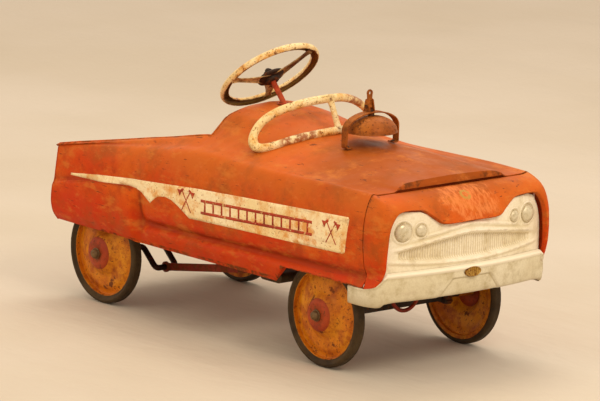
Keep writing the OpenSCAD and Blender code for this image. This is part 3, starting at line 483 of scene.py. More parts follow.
def smooth(values, keys, x):
    """A smooth curve through rows of values, at the place x among keys."""
    i = int(np.clip(np.searchsorted(keys, x, side="right") - 1, 0, len(keys) - 2))
    h = keys[i + 1] - keys[i]
    t = (x - keys[i]) / h

    def slope(k):
        a, b = max(k - 1, 0), min(k + 1, len(keys) - 1)
        return (values[b] - values[a]) / (keys[b] - keys[a])

    return (
        values[i] * (2 * t**3 - 3 * t**2 + 1)
        + values[i + 1] * (3 * t**2 - 2 * t**3)
        + h * slope(i) * (t**3 - 2 * t**2 + t)
        + h * slope(i + 1) * (t**3 - t**2)
    )


def curve(points, steps):
    """A smooth run through points, with that many steps between each two."""
    rows = [np.array(p, float) for p in points]
    keys = np.arange(len(rows), dtype=float)
    return [smooth(rows, keys, k / steps) for k in range((len(rows) - 1) * steps + 1)]


# --------------------------------------------------------------- body shell
# Half sections from the hem up to the middle line, as [half width, height].
TAIL_X, COWL_X, SEAM_X = -456, -102, 400
SHEET = 1.6
SHAFT_HOLE_X, SHAFT_HOLE_RADIUS = -48, 7.5
# Behind the cowl the last four lines only carry the curve on; the cockpit leaves their faces out.
GHOST = [[107, 320], [86, 320], [42, 320], [0, 320]]
BODY_LINES = {
    -456: [[189, 142], [200, 158], [204, 180], [204, 206], [200, 220], [200, 266],
           [200, 280], [199, 284], [198, 287], *GHOST],
    -400: [[191, 142], [203, 160], [206, 188], [206, 222], [200, 231], [200, 270],
           [195, 289], [192, 293], [188, 297], *GHOST],
    -300: [[192, 142], [204, 162], [207, 195], [207, 234], [200, 242], [200, 277],
           [190, 301], [179, 308], [167, 315], *GHOST],
    -236: [[192, 141], [203, 162], [206, 195], [206, 234], [200, 242], [200, 282],
           [188, 309], [171, 318], [153, 327], *GHOST],
    -218: [[188, 141], [193, 160], [189, 182], [195, 208], [201, 246], [200, 283],
           [188, 311], [169, 320], [150, 330], *GHOST],
    -190: [[188, 139], [199, 164], [189, 180], [200, 198], [203, 245], [201, 285],
           [187, 314], [166, 324], [144, 335], *GHOST],
    -102: [[189, 139], [201, 165], [190, 180], [201, 197], [204, 245], [202, 290], [186, 327],
           [155, 336], [126, 351], [107, 367], [86, 383], [42, 394], [0, 397]],
    -50: [[189, 139], [201, 165], [190, 180], [201, 197], [204, 245], [202, 291], [188, 328],
          [166, 339], [143, 350], [119, 366], [92, 384], [46, 399], [0, 403]],
    0: [[189, 139], [201, 166], [190, 181], [201, 198], [204, 245], [203, 292], [189, 328],
        [170, 338], [150, 347], [128, 359], [100, 376], [52, 393], [0, 398]],
    50: [[189, 139], [201, 167], [190, 182], [201, 199], [204, 246], [203, 293], [190, 328],
         [172, 337], [153, 345], [130, 354], [100, 366], [52, 380], [0, 385]],
    105: [[189, 139], [201, 168], [190, 183], [201, 201], [204, 246], [203, 294], [191, 328],
          [174, 335], [154, 342], [131, 349], [100, 357], [52, 368], [0, 374]],
    180: [[190, 139], [201, 169], [190, 184], [201, 203], [204, 247], [203, 295], [191, 330],
          [174, 334], [152, 337], [126, 345], [100, 353], [52, 365], [0, 369]],
    300: [[190, 139], [200, 170], [192, 186], [201, 207], [204, 248], [202, 296], [190, 333],
          [172, 334], [146, 335], [122, 343], [98, 350], [52, 357], [0, 360]],
    402: [[194, 139], [201, 170], [192, 190], [199, 211], [203, 250], [201, 293], [186, 332],
          [168, 333], [132, 333], [119, 340], [98, 345], [52, 347], [0, 348]],
}
STATIONS = np.array(sorted(BODY_LINES), float)
LINES = np.array([BODY_LINES[int(x)] for x in STATIONS], float)
LINE_KEYS = np.arange(LINES.shape[1], dtype=float)
RIM_LINE = 8  # the edge of the cockpit runs along this line
PER_SPAN = 6  # mesh columns between one line and the next
HALF = (len(LINE_KEYS) - 1) * PER_SPAN
GIRTH = 2 * HALF


def hem(x):
    """Height of the body's lower edge, which rises over the front wheel."""
    return float(np.interp(x, [-456, -250, -230, 160, 190, 402], [142, 142, 139, 139, 170, 170]))


def hump(value, width):
    """A smooth bump, 1 where the value is 0."""
    return math.exp(-((value / width) ** 2))


def soft_step(value, width):
    """A smooth step from 0 to 1 where the value is 0."""
    return 1 / (1 + math.exp(-max(-40.0, min(40.0, value / width))))


def half_section(x):
    """The section at x, from the hem to the middle line."""
    controls = smooth(LINES, STATIONS, x)
    points = []
    for n in range(HALF + 1):
        y, z = smooth(controls, LINE_KEYS, n / PER_SPAN)
        points.append((y, max(z, hem(x) + n / HALF * 12)))
    return points


def raked(x, z):
    """The tail edge leans back from its upper corner to the bulge over the wheel."""
    reach = 56
    lean = np.interp(z, [140, 178, 230, 287, 400], [8, 10.6, 5, -5, -5])
    return x - lean * max(0, (TAIL_X + reach - x) / reach)


def side_y(x, z):
    """Half width of the body's flank at a place seen from the side."""
    flank = [p for p in half_section(x)[: 7 * PER_SPAN] if p[1] >= hem(x)]
    return float(np.interp(z, [p[1] for p in flank], [p[0] for p in flank]))


def fresh_at(x, y, z):
    """Where the red is fresher: the sloped band beside the cockpit and the top of the hump."""
    on_top = hump(x + 45, 60) * hump(y, 95) if z > 380 else 0
    inwards = abs(y) - np.interp(x, [-400, -102], [193, 178])
    band = np.interp(x, [-440, -300, -140, -90], [1, 1, 1, 0]) * np.interp(inwards, [-8, 0], [1, 0])
    below = np.interp(z, [150, 195, 205, 232], [0.9, 0.9, 0.45, 0.0])
    return float(max(on_top, band, below))


def painted_shade_at(x, z):
    """Painted shade in the long crease over the skirt, at the foot of the rear bulge and under its ledge."""
    crease = hump(z - np.interp(x, [-190, 402], [182, 194]), 6) * soft_step(x + 205, 6)
    foot = hump(x + 214, 6) * soft_step(z - 165, 6) * soft_step(236 - z, 4)
    ledge = hump(z - np.interp(x, [-456, -300], [224, 240]), 3.5) * soft_step(-228 - x, 6)
    return float(min(1.0, crease + foot + 0.7 * ledge))


def body_stations():
    """Places along the body, closer together round the seam, the wheel arch and the rear bulge."""
    fine = list(np.arange(TAIL_X, COWL_X, 6.0)) + list(np.arange(COWL_X, SEAM_X - 6, 6.0))
    around_arch = [160, 165, 170, 175, 180, 185, 190]
    around_bulge = list(np.arange(-240, -211, 2.0))
    return sorted(set(fine + around_arch + around_bulge + [COWL_X, SEAM_X - 5, SEAM_X - 2.5]))


def make_body():
    """The skin, with the cockpit open, a hole for the steering shaft and a lip turned down at the seam."""
    xs = body_stations()
    rows = [whole(half_section(x)) for x in xs]
    lip_low, lip_mid = 335, 341
    for extra_x, floor in ((SEAM_X - 1, lip_mid), (SEAM_X, lip_low)):
        xs.append(extra_x)
        rows.append([(y, min(z, floor)) for y, z in whole(half_section(SEAM_X))])
    verts = [(raked(x, z), y, z) for x, row in zip(xs, rows) for y, z in row]
    cols = GIRTH + 1
    cowl_row = xs.index(COWL_X)
    rim = RIM_LINE * PER_SPAN
    hole_row = xs.index(SHAFT_HOLE_X)
    centre = Vector(verts[hole_row * cols + HALF])
    for i in (hole_row - 1, hole_row, hole_row + 1):
        for j in (HALF - 1, HALF, HALF + 1):
            away = Vector(verts[i * cols + j]) - centre
            if away.length > 0:
                verts[i * cols + j] = tuple(centre + away.normalized() * SHAFT_HOLE_RADIUS)

    def keep(i, j):
        if i in (hole_row - 1, hole_row) and j in (HALF - 1, HALF):
            return False
        return i >= cowl_row or j < rim or j >= GIRTH - rim

    fresh = [fresh_at(*v) for v in verts]
    # painted shade in the flank's creases, read by the red's material
    painted_shade = [painted_shade_at(v[0], v[2]) for v in verts]
    shape = verts, grid_faces(len(xs), cols, keep)
    piece("body_shell_skin", shape, "body", RED, ["body_shell"], sheet=SHEET, bevel=0.45,
          flip=True, values={"fresh": fresh, "painted_shade": painted_shade})


def rolled_edge(name, path, radius):
    """A folded edge as a slim round bead."""
    piece(name, tube(path, [radius] * len(path), sides=10), "body", RED)


def make_body_edges():
    rim = RIM_LINE * PER_SPAN
    right = []
    for x in np.arange(TAIL_X + 1, COWL_X + 0.1, 7.0):
        y, z = half_section(x)[rim]
        right.append((raked(x, z), -y + 1, z - 0.6))
    arch = [(COWL_X - 0.4, -y, z - 0.8) for y, z in half_section(COWL_X)[rim:]]
    rolled_edge("cockpit_rolled_edge", whole(right + arch), 2.1)
    for side, label in SIDES:
        tail = [(raked(TAIL_X, z) + 1.2, side * (y - 1.2), z)
                for y, z in half_section(TAIL_X)[: rim + 1 : 2]]
        rolled_edge(f"tail_rolled_edge_{label}", tail, 1.9)
        sill = [(x, side * (half_section(x)[0][0] - 2), hem(x) + 1) for x in np.arange(-440, 158, 9.0)]
        rolled_edge(f"sill_rolled_edge_{label}", sill, 1.8)


make_body()
make_body_edges()

# ----------------------------------------------------------- side graphic
STRIPE = [(-413, 238), (-413, 234), (-330, 236), (-243, 243), (-224, 242), (-205, 237), (-192, 230),
          (-179, 222), (-172, 228), (-158, 237), (-137, 241), (-118, 238), (-99, 230), (-82, 221),
          (-68, 213), (80, 217), (220, 220), (349, 223), (354, 226), (364, 287), (361, 290),
          (89, 278), (-49, 271), (-224, 258), (-330, 248)]


def side_patch(outline, side, lift, spacing=7.0):
    """Points and faces of an outline (x, z) laid on the body's flank, a little above the paint."""
    bm = bmesh.new()
    bm.faces.new([bm.verts.new((x, 0, z)) for x, z in outline])
    for axis in (0, 2):
        values = [p[axis // 2] for p in outline]
        normal = Vector((axis == 0, 0, axis == 2))
        for cut in np.arange(min(values) + spacing, max(values), spacing):
            geom = list(bm.verts) + list(bm.edges) + list(bm.faces)
            bmesh.ops.bisect_plane(bm, geom=geom, plane_co=normal * float(cut), plane_no=normal, dist=1e-4)
    bmesh.ops.triangulate(bm, faces=[f for f in bm.faces if len(f.verts) > 4])
    bm.verts.index_update()
    verts = [Vector((v.co.x, side * (side_y(v.co.x, v.co.z) + lift), v.co.z)) for v in bm.verts]
    faces = [tuple(v.index for v in f.verts) for f in bm.faces]
    bm.free()
    a, b, c = (verts[i] for i in faces[0][:3])
    if (b - a).cross(c - b).y * side < 0:
        faces = [tuple(reversed(f)) for f in faces]
    return verts, faces


def bar_outline(a, b, half_width):
    """A straight bar from a to b, as an outline."""
    a, b = Vector(a), Vector(b)
    n = Vector((a.y - b.y, b.x - a.x)).normalized() * half_width
    return [tuple(p) for p in (a + n, b + n, b - n, a - n)]


def ladder(x0, x1, slope, middle, spread):
    """A plain ladder: two rails and evenly spaced rungs, following the stripe."""

    def at(x, up):
        return (x, middle + slope * (x - x0) + up)

    rungs, rail_half, rung_half = 13, 2.6, 2.2
    shapes = [bar_outline(at(x0, up), at(x1, up), rail_half) for up in (-spread, spread)]
    reach = spread - rail_half - 0.2
    for k in range(rungs):
        x = x0 + (x1 - x0) * (k + 0.5) / rungs
        shapes.append(bar_outline(at(x, -reach), at(x, reach), rung_half))
    return shapes


def crossed_tools(x, z):
    """Two plain crossed hand tools, each a handle and a wedge head."""
    shapes = []
    for way in (-1, 1):
        foot = Vector((x - way * 13, z - 21))
        top = Vector((x + way * 13, z + 19))
        shapes.append(bar_outline(foot, top, 1.1))
        across = Vector((top.y - foot.y, foot.x - top.x)).normalized() * way
        along = (top - foot).normalized()
        head = top - along * 3
        wedge = [(-5, 2.2), (4, 2.6), (11, 7.5), (11.5, -6.5), (4, -2.2), (-5, -1.8)]
        shapes.append([tuple(head + across * c + along * d) for c, d in wedge])
    return shapes


def make_side_graphics():
    for side, label in SIDES:
        stripe = side_patch(STRIPE, side, 0.35)
        piece(f"side_stripe_{label}", stripe, "body", DECAL, sheet=0.25)
        shapes = ladder(-35, 268, 0.046, 240, 11) + crossed_tools(-76, 245) + crossed_tools(318, 257)
        marks = join(*(side_patch(outline, side, 0.6, 12) for outline in shapes))
        piece(f"stripe_marks_{label}", marks, "body", MOTIF, sheet=0.25)


make_side_graphics()

# --------------------------------------------------------------- front clip
# Each row is [start at the seam, edge round the front panel], as [x, half width, height].
CLIP_LINES = [
    [[402, 201, 170.5], [434, 190, 183]],
    [[402, 196, 182], [443, 190, 197]],
    [[402, 193, 195], [448, 190, 209]],
    [[402, 199, 211], [449, 190, 222]],
    [[402, 203, 250], [450, 188, 248]],
    [[402, 201, 292], [450, 183, 280]],
    [[402, 187, 331], [450, 168, 304]],
    [[402, 168, 331], [450, 148, 310]],
    [[402, 132, 331], [451, 112, 308]],
    [[402, 119, 331], [453, 98, 302]],
    [[402, 98, 331], [457, 80, 290]],
    [[402, 52, 331], [461, 60, 280]],
    [[402, 0, 331], [462, 0, 280]],
]
SIDE_LINES = 6
CLIP_STEPS = 26


def clip_line(k, t):
    """A point of line k of the clip, t of the way from the seam to the front edge."""
    a, c = (np.array(p, float) for p in CLIP_LINES[k])
    if k <= SIDE_LINES:
        corner = np.array([c[0] + 3, a[1] + 1, (a[2] + c[2]) / 2])
    else:
        corner = np.array([(a[0] + c[0]) / 2 + 8, (a[1] + c[1]) / 2, a[2] - 1])
    return (1 - t) ** 2 * a + 2 * t * (1 - t) * corner + t * t * c


def clip_section(t):
    lines = [clip_line(k, t) for k in range(len(CLIP_LINES))]
    return [tuple(smooth(lines, LINE_KEYS, n / PER_SPAN)) for n in range(HALF + 1)]


def make_clip():
    """The nose between the hood's seam and the front panel."""
    rows = [whole(clip_section(i / CLIP_STEPS)) for i in range(CLIP_STEPS + 1)]
    edge = rows[-1]
    # the edge turns back behind itself, as a folded lip round the front panel
    for back, inset in ((-1.2, 1.6), (-4.5, 2.4), (-9.0, 2.8)):
        turned_in = []
        for n, (x, y, z) in enumerate(edge):
            a, b = Vector(edge[max(n - 1, 0)]), Vector(edge[min(n + 1, GIRTH)])
            along = (b - a).normalized()
            full = min(1.0, 0.15 + min(n, GIRTH - n) / 8)
            turned_in.append((x + back * full, y - along.z * inset * full, z + along.y * inset * full))
        rows.append(turned_in)
    shape = surface(rows)
    fresh = [float(np.interp(z, [175, 215, 232], [0.85, 0.55, 0.0])) for x, y, z in shape[0]]
    piece("front_clip_skin", shape, "body", RED, ["front_clip"], sheet=1.2, bevel=0.4,
          flip=True, values={"fresh": fresh})


make_clip()

# -------------------------------------------------- front panel and bumper
PANEL_HALF = 186.5
# The panel's upper edge, as [half width, height].
PANEL_TOP = np.array([[0, 276], [60, 276], [80, 286], [97, 298], [112, 304], [148, 306], [166, 300],
                      [179, 278], [184, 262], [186.5, 246]])
PANEL_FLOOR = 199
FRONT_MIDDLE_X = 461
FRONT_BOW = 22
PANEL_FRONT, BUMPER_FRONT = 464.5, 465.8  # neither comes further forward than this
LAMP_Z = 271
LAMPS = ((147, 16.8, 9), (110, 11, 6))  # half spacing, radius and height of each pair


def front_plan(y):
    return FRONT_MIDDLE_X - FRONT_BOW * (abs(y) / 190) ** 2


def grille_low(y):
    return 214 + 8 * (abs(y) / 150) ** 2


def grille_high(y):
    return 254 - 19 * (abs(y) / 150) ** 1.25


def lamp_relief(y, z):
    """Domed lamps, each in a shallow ring."""
    height = 0.0
    for centre, radius, rise in LAMPS:
        d = math.hypot(abs(y) - centre, z - LAMP_Z)
        if d < radius:
            height += rise * math.sqrt(1 - (d / radius) ** 2)
        height += 1.5 * hump(d - radius - 3.0, 1.6) - 0.5 * hump(d - radius - 0.4, 1.2)
    return height


def grille_relief(y, z):
    """The ribbed band between its raised mouldings."""
    low, high = grille_low(y), grille_high(y)
    ends = soft_step(153 - abs(y), 1.2)
    inside = ends * soft_step(z - low, 0.7) * soft_step(high - z, 0.7)
    ribs = 1.25 * math.cos(2 * math.pi * y / 5.4) * inside
    upper = 5.6 * hump(z - high - 6, 3.8) * soft_step(160 - abs(y), 5)
    second = 3.2 * hump(z - high - 16 - 3 * hump(y, 60), 3.4) * soft_step(118 - abs(y), 12)
    lower = 4.0 * hump(z - low + 5.5, 3.4) * soft_step(170 - abs(y), 5)
    return ribs - 6.4 * inside + upper + second + lower


def make_front_panel():
    cols, levels = 330, 96
    rows = []
    for i in range(levels + 1):
        row = []
        for j in range(cols + 1):
            y = PANEL_HALF * (2 * j / cols - 1)
            top = float(np.interp(abs(y), PANEL_TOP[:, 0], PANEL_TOP[:, 1]))
            z = PANEL_FLOOR + (top - PANEL_FLOOR) * i / levels
            edge = hump(PANEL_HALF - abs(y), 5) + hump(top - z, 3.5)
            x = front_plan(y) - 6.5 + lamp_relief(y, z) + grille_relief(y, z) - 1.5 * min(edge, 1.2)
            row.append((min(x, PANEL_FRONT), y, z))
        rows.append(row)

    def in_lamp(x, y, z):
        return any(math.hypot(abs(y) - centre, z - LAMP_Z) < radius for centre, radius, _ in LAMPS)

    panel = piece("front_panel", surface(rows), "body", WHITE, ["grille_panel"], sheet=1.4,
                  flip=True)
    repaint(panel, LAMP, in_lamp)


# The bumper from above, as [forward, half width] from its end to where it runs along the front.
BUMPER_END = [(360, 199.5), (370, 200.2), (380, 200.5), (391, 200.5), (402, 200), (411, 199.4),
              (420, 198.2), (427, 196.8), (433, 194.8), (438, 191.6), (441, 188)]
BUMPER_PLAN = BUMPER_END + [(front_plan(y), y) for y in np.arange(182, -183, -2.0)]
BUMPER_PLAN += [(x, -y) for x, y in reversed(BUMPER_END)]
# Across the bumper from its lower edge up: [height, step forward].
BUMPER_SECTION = [(147, -7), (147.8, -4), (149.5, -1), (153, 0.6), (160, 2.0), (168, 3.1), (176, 3.6),
                  (183, 3.2), (188, 2.4), (191, 2.2), (193, 3.2), (195, 4.6), (197, 4.9), (199, 3.6),
                  (200.4, 0.6), (200.8, -4)]
# Its lower and upper edge by the distance from either end: [distance, lower, upper].
# The upper edge runs under the fender and rises round its lower corner.
BUMPER_EDGES = np.array([(0, 138, 169.6), (40, 138, 170.6), (70, 139.5, 180), (77, 141, 185),
                         (88, 145, 200.8), (110, 147, 200.8)])
CORNER_RUN = 96.0
CORNER_TUCK = 9  # how far the uppermost row turns in under the fender


def plate_relief(y, z):
    """A sunk panel with slanted ends, low in the bumper's middle."""
    half = np.interp(z, [149, 180], [72, 44])
    inside = soft_step(half - abs(y), 0.6) * soft_step(180 - z, 0.5)
    return -3.0 * inside


def make_bumper():
    """One pressed section carried round the front, narrowing towards its ends under the fenders."""
    plan = [Vector(p) for p in BUMPER_PLAN]
    run = [0.0]
    for a, b in zip(plan, plan[1:]):
        run.append(run[-1] + (b - a).length)
    section = rounded(BUMPER_SECTION, 1.6, 3)
    rows = []
    for z, forward in subdivided(section, 1.2):
        row = []
        for j, p in enumerate(plan):
            along = direction_at(plan, j)
            out = Vector((-along.y, along.x))
            if out.dot(p - Vector((300, 0))) < 0:
                out = -out
            from_end = min(run[j], run[-1] - run[j])
            low, high = (np.interp(from_end, BUMPER_EDGES[:, 0], BUMPER_EDGES[:, k]) for k in (1, 2))
            t = min(1.0, from_end / CORNER_RUN) ** 3
            step = forward * (0.25 + 0.75 * t) + (plate_relief(p.y, z) if t == 1.0 else 0)
            if z == section[-1][0]:
                step -= CORNER_TUCK * (1 - t)
            q = p + out * (step - 1.0)
            height = low + (z - section[0][0]) / (section[-1][0] - section[0][0]) * (high - low)
            row.append((min(q.x, BUMPER_FRONT), q.y, height))
        rows.append(row)
    piece("bumper_skin", surface(rows), "body", BUMPER, ["bumper"], sheet=1.4, bevel=0.3)


def make_badge():
    """A plain pointed oval with a raised border and a ribbed middle."""
    centre = Vector((FRONT_MIDDLE_X + 3.4, 0, 188))
    half_width, half_height = 19.5, 9.5
    rings, steps = 16, 64
    verts = [tuple(centre + Vector((1.6, 0, 0)))]
    for i in range(1, rings + 1):
        share = i / rings
        for s in range(steps):
            a = FULL_TURN * s / steps
            pointed = 0.55 + 0.45 * abs(math.sin(a)) ** 0.9
            y = share * half_width * math.cos(a)
            z = share * half_height * math.sin(a) * pointed ** 0.3
            rise = 1.2 * hump(share - 0.9, 0.06) + 0.35 * math.cos(y * 1.3) * (share < 0.8)
            x = 0.4 + rise - (1.6 if i == rings else 0)
            verts.append(tuple(centre + Vector((x, y, z))))
    faces = [(0, 1 + s, 1 + (s + 1) % steps) for s in range(steps)]
    for i in range(rings - 1):
        for s in range(steps):
            a, b = 1 + i * steps + s, 1 + i * steps + (s + 1) % steps
            faces.append((a, a + steps, b + steps, b))
    piece("badge_plate", (verts, faces), "body", BADGE, ["badge"], sheet=0.6)


make_front_panel()
make_bumper()
make_badge()

# --------------------------------------------------- windshield and bell
WINDSHIELD = [
    [75, 0, 434], [60, 45, 428], [42, 89, 415], [33, 122, 397], [34, 143, 374], [46, 148, 357],
    [63, 131, 357], [83, 75, 371], [101, 0, 380],
]


def make_windshield():
    half = curve(WINDSHIELD, 12)
    last = len(half) - 1
    corner = 4.8 / (len(WINDSHIELD) - 1) * last
    radii = [7.6 + 2.2 * hump(i - corner, 8) for i in range(last + 1)]
    hoop = [Vector(p) for p in half + [p * np.array([1, -1, 1]) for p in reversed(half[1:-1])]]
    radii += list(reversed(radii[1:-1]))
    facing, sides = Vector((1, 0, 0.5)), 20
    verts = []
    for i, p in enumerate(hoop):
        along = (hoop[(i + 1) % len(hoop)] - hoop[i - 1]).normalized()
        u = along.cross(facing).normalized()
        verts += ring(p, u, along.cross(u), radii[i], 0.86 * radii[i], sides)
    faces = grid_faces(len(hoop), sides, closed_rows=True, closed_cols=True)
    shares = np.linspace(0, 1, 14)
    post_path = [(75.4 + 25.2 * t, 0, 433 - 52 * t) for t in shares]
    post_radii = [5.4 + 1.8 * (hump(t, 0.12) + hump(1 - t, 0.12)) for t in shares]
    post = tube(post_path, post_radii, sides=16)
    casting = join((verts, faces), post)
    piece("windshield_casting", casting, "body", CREAM, ["windshield_frame"])


BELL = (186, 392, 47.5, 28)  # x, height of the rim, radius, rise
DOME_POWER = 0.88


def make_bell():
    x, rim_z, radius, rise = BELL

    def dome(wide, high):
        return [(max(3.3, wide * math.sin(a) ** DOME_POWER), high * math.cos(a) ** DOME_POWER)
                for a in np.linspace(0, math.pi / 2 - 0.001, 34)]

    bead = [(radius + math.sin(a), 0.6 - math.cos(a)) for a in np.linspace(2.4, -0.4, 9)]
    profile = dome(radius, rise)[:-1] + bead + dome(radius - 2, rise - 2)[::-1]
    shape = lathe(profile, (x, 0, rim_z), (0, 0, 1), steps=96)
    piece("bell_dome", shape, "body", RUSTY, ["bell"])


def make_bracket():
    """A flat strap bent over the bell, with feet riveted to the hood."""
    arch, spring, top = 62, 398, 428
    foot_z, foot, width, thick = 366.4, 13, 17, 2.4
    leg = rounded([(foot - arch, foot_z), (-arch, foot_z), (-arch, spring)], 5)
    left = leg[:-1] + arc((0, spring), (-arch, top - spring), 0, math.pi / 2, 26)
    path = [Vector(p) for p in whole(left)]
    verts = []
    for i, p in enumerate(path):
        along = direction_at(path, i)
        normal = Vector((-along.y, along.x))
        half = width / 2 * (1 - 0.12 * hump(abs(p.x) - arch, 6))
        for side, depth in ((-1, 0), (1, 0), (1, thick), (-1, thick)):
            q = p - normal * depth
            verts.append((BELL[0] + side * half, q.x, q.y))
    ear = [(172, 426), (173, 432), (175.5, 444), *arc((181, 446), (5, 4), math.pi - 0.2, 0.2, 12),
           (186.5, 444), (189, 432), (190, 426)]
    ears = [plate(ear, y - 1, y + 1) for y in (-5.4, 5.4)]
    shape = join((verts, capped(len(path), 4)), *ears)
    piece("bell_bracket_strap", shape, "body", RUSTY, ["bell_bracket"], bevel=0.5)


def make_lever():
    """The upright pull lever with its eye."""
    x, base, eye_z, eye_r, hole = 181, 436, 460, 6.5, 2.6
    steps = 28
    angles = [FULL_TURN * s / steps for s in range(steps)]
    outer = []
    for a in angles:
        y, z = eye_r * math.sin(a), eye_z + eye_r * math.cos(a)
        if z < eye_z - 3.2:
            y = math.copysign(min(abs(y) + 0.6, 3.9), y) if y else 0.0
            z = base - 3.5
        outer.append((y, z))
    inner = [(hole * math.sin(a), eye_z + hole * math.cos(a)) for a in angles]
    verts = [(px, y, z) for px in (x - 1.5, x + 1.5) for y, z in outer + inner]
    faces = []
    for s in range(steps):
        m = (s + 1) % steps
        faces.append((s, m, steps + m, steps + s))
        faces.append((3 * steps + s, 3 * steps + m, 2 * steps + m, 2 * steps + s))
        faces.append((s, 2 * steps + s, 2 * steps + m, m))
        faces.append((steps + m, 3 * steps + m, 3 * steps + s, steps + s))
    barrel = lathe([(2.1, -4), (4.0, -4), (4.3, -3), (4.3, 3), (4.0, 4), (2.1, 4)], (x, 0, base), (0, 1, 0),
                   steps=32)
    shape = join((verts, faces), barrel)
    piece("bell_lever_arm", shape, "bell_pull", RUSTY, ["bell_lever"], bevel=0.5)


make_windshield()
make_bell()
make_bracket()
make_lever()

# ----------------------------------------------------------------- steering
LEAN = math.radians(42)
WHEEL_CENTRE = Vector((-92, 0, 451))
SHAFT_UP = Vector((-math.sin(LEAN), 0, math.cos(LEAN)))
RIM_RADIUS = 90


def on_shaft(across_forward, across_left, up):
    """A place in the steering shaft's own frame."""
    forward = Vector((math.cos(LEAN), 0, math.sin(LEAN)))
    return WHEEL_CENTRE + forward * across_forward + Vector((0, across_left, 0)) + SHAFT_UP * up


def make_rim():
    """The wheel's rim, a round bar that is hollow and open underneath."""
    tube_r, tube_high, wall = 8.2, 7.0, 1.6
    start, stop = math.radians(-62), math.radians(194)
    outside = arc((RIM_RADIUS, 0), (tube_r, tube_high), start, stop, 26)
    inside = arc((RIM_RADIUS, 0), (tube_r - wall, tube_high - wall), stop, start, 26)
    verts, faces = lathe(outside + inside, WHEEL_CENTRE, SHAFT_UP, steps=144)
    # the inside of the hollow, which the rim's material darkens as painted shade
    under = [float(k % (2 * len(outside)) >= len(outside)) for k in range(len(verts))]
    piece("steering_rim", (verts, faces), "steering", RIM, ["steering_wheel"],
          values={"under": under})


def make_hub():
    """The turned boss under the spokes."""
    hub = [(5.2, -16), (11, -16), (13, -14.4), (14, -10), (22, -9), (25.5, -7.4), (26.6, -4.6),
           (25, -2.4), (13, -1.2), (11, 0.0), (5.2, 0.0)]
    boss = lathe(hub, WHEEL_CENTRE, SHAFT_UP, steps=64)
    piece("steering_hub", boss, "steering", DARK, bevel=0.4)


def make_spoke(name, turn):
    """A pressed spoke, wide at the hub, crowned across and rising towards the rim."""
    stations, across, start = 22, 12, 12
    rows = []
    for i in range(stations + 1):
        t = i / stations
        reach = start + (RIM_RADIUS - 3 - start) * t
        half = 6.3 + 8.5 * (1 - t) ** 2.2 + 3.5 * hump(1 - t, 0.10)
        rise = 5.0 * t * t - 8.5
        row = []
        for s in range(across + 1):
            v = 2 * s / across - 1
            crown = 3.2 * (1 - v**4) + 0.9 * hump(v, 0.35) * (1 - t)
            forward = reach * math.cos(turn) - v * half * math.sin(turn)
            left = reach * math.sin(turn) + v * half * math.cos(turn)
            row.append(on_shaft(forward, left, rise + crown))
        rows.append(row)
    normal = (rows[1][1] - rows[0][1]).cross(rows[0][2] - rows[0][1])
    piece(name, surface(rows), "steering", SPOKE, sheet=1.6, bevel=0.3,
          flip=normal.dot(SHAFT_UP) < 0)


def make_column():
    """The steering shaft: a rod, its collar, and the drop arm welded on its foot."""
    foot_x, bearing_x = 219.5, 167
    shaft_end = (foot_x - WHEEL_CENTRE.x) / math.sin(LEAN)
    top, r = 4, 5
    rod = lathe([(0.01, top), (r - 0.8, top), (r, top - 0.8), (r, -shaft_end), (0.01, -shaft_end)],
                WHEEL_CENTRE, SHAFT_UP, steps=40, closed=False)
    bearing = (bearing_x - WHEEL_CENTRE.x) / math.sin(LEAN)
    collar = lathe([(4.9, 2.2 - bearing), (8.4, 2.2 - bearing), (9, 2.8 - bearing), (9, 8.6 - bearing),
                    (8.4, 9.2 - bearing), (4.9, 9.2 - bearing)], WHEEL_CENTRE, SHAFT_UP, steps=40)
    outline = arc((0, 0), (11, 11), -math.pi / 2, math.pi / 2, 14)
    outline += arc((-30, 0), (7, 7), math.pi / 2, 3 * math.pi / 2, 14)
    verts = [on_shaft(x, y, h - shaft_end - 3) for h in (0, 6) for x, y in outline]
    arm = verts, slab_faces(len(outline))
    pin = lathe([(0.01, -1), (3, -1), (3, -10.4), (2.4, -11), (0.01, -11)], on_shaft(-30, 0, -shaft_end - 3),
                SHAFT_UP, steps=28, closed=False)
    shape = join(rod, collar, arm, pin)
    piece("steering_column_rod", shape, "steering", COLUMN, ["steering_shaft"], bevel=0.4)


make_rim()
for spoke_number, spoke_degrees in enumerate((31, 151, 271)):
    make_spoke(f"steering_spoke_{spoke_number + 1}", math.radians(spoke_degrees))
make_hub()
make_column()

# ------------------------------------------------------------------- wheels
FRONT_X, REAR_X, AXLE_Z, WHEEL_Y = 263.5, -353.5, 95, 162
DISC_LINE = [(8.5, 21.6), (21, 21.6), (27, 20), (32, 15.5), (38, 9), (44, 4.8), (52, 3.6), (60, 3.0),
             (66, 1.8), (70, -0.8), (74, -2.6), (78, -3.0), (80.2, -1.6), (81.0, 1.5), (81.6, 5.6),
             (82.6, 7.2), (84.2, 7.6), (85.4, 8.6)]
BOSS_RADIUS, BOSS_FOOT = 30.5, 13  # the darker boss is inside this radius and above this height
WHEELS = {
    "front_left": (FRONT_X, 1, "wheel_front_left"),
    "front_right": (FRONT_X, -1, "wheel_front_right"),
    "rear_left": (REAR_X, 1, "wheel_rear_left"),
    "rear_right": (REAR_X, -1, "crank"),
}


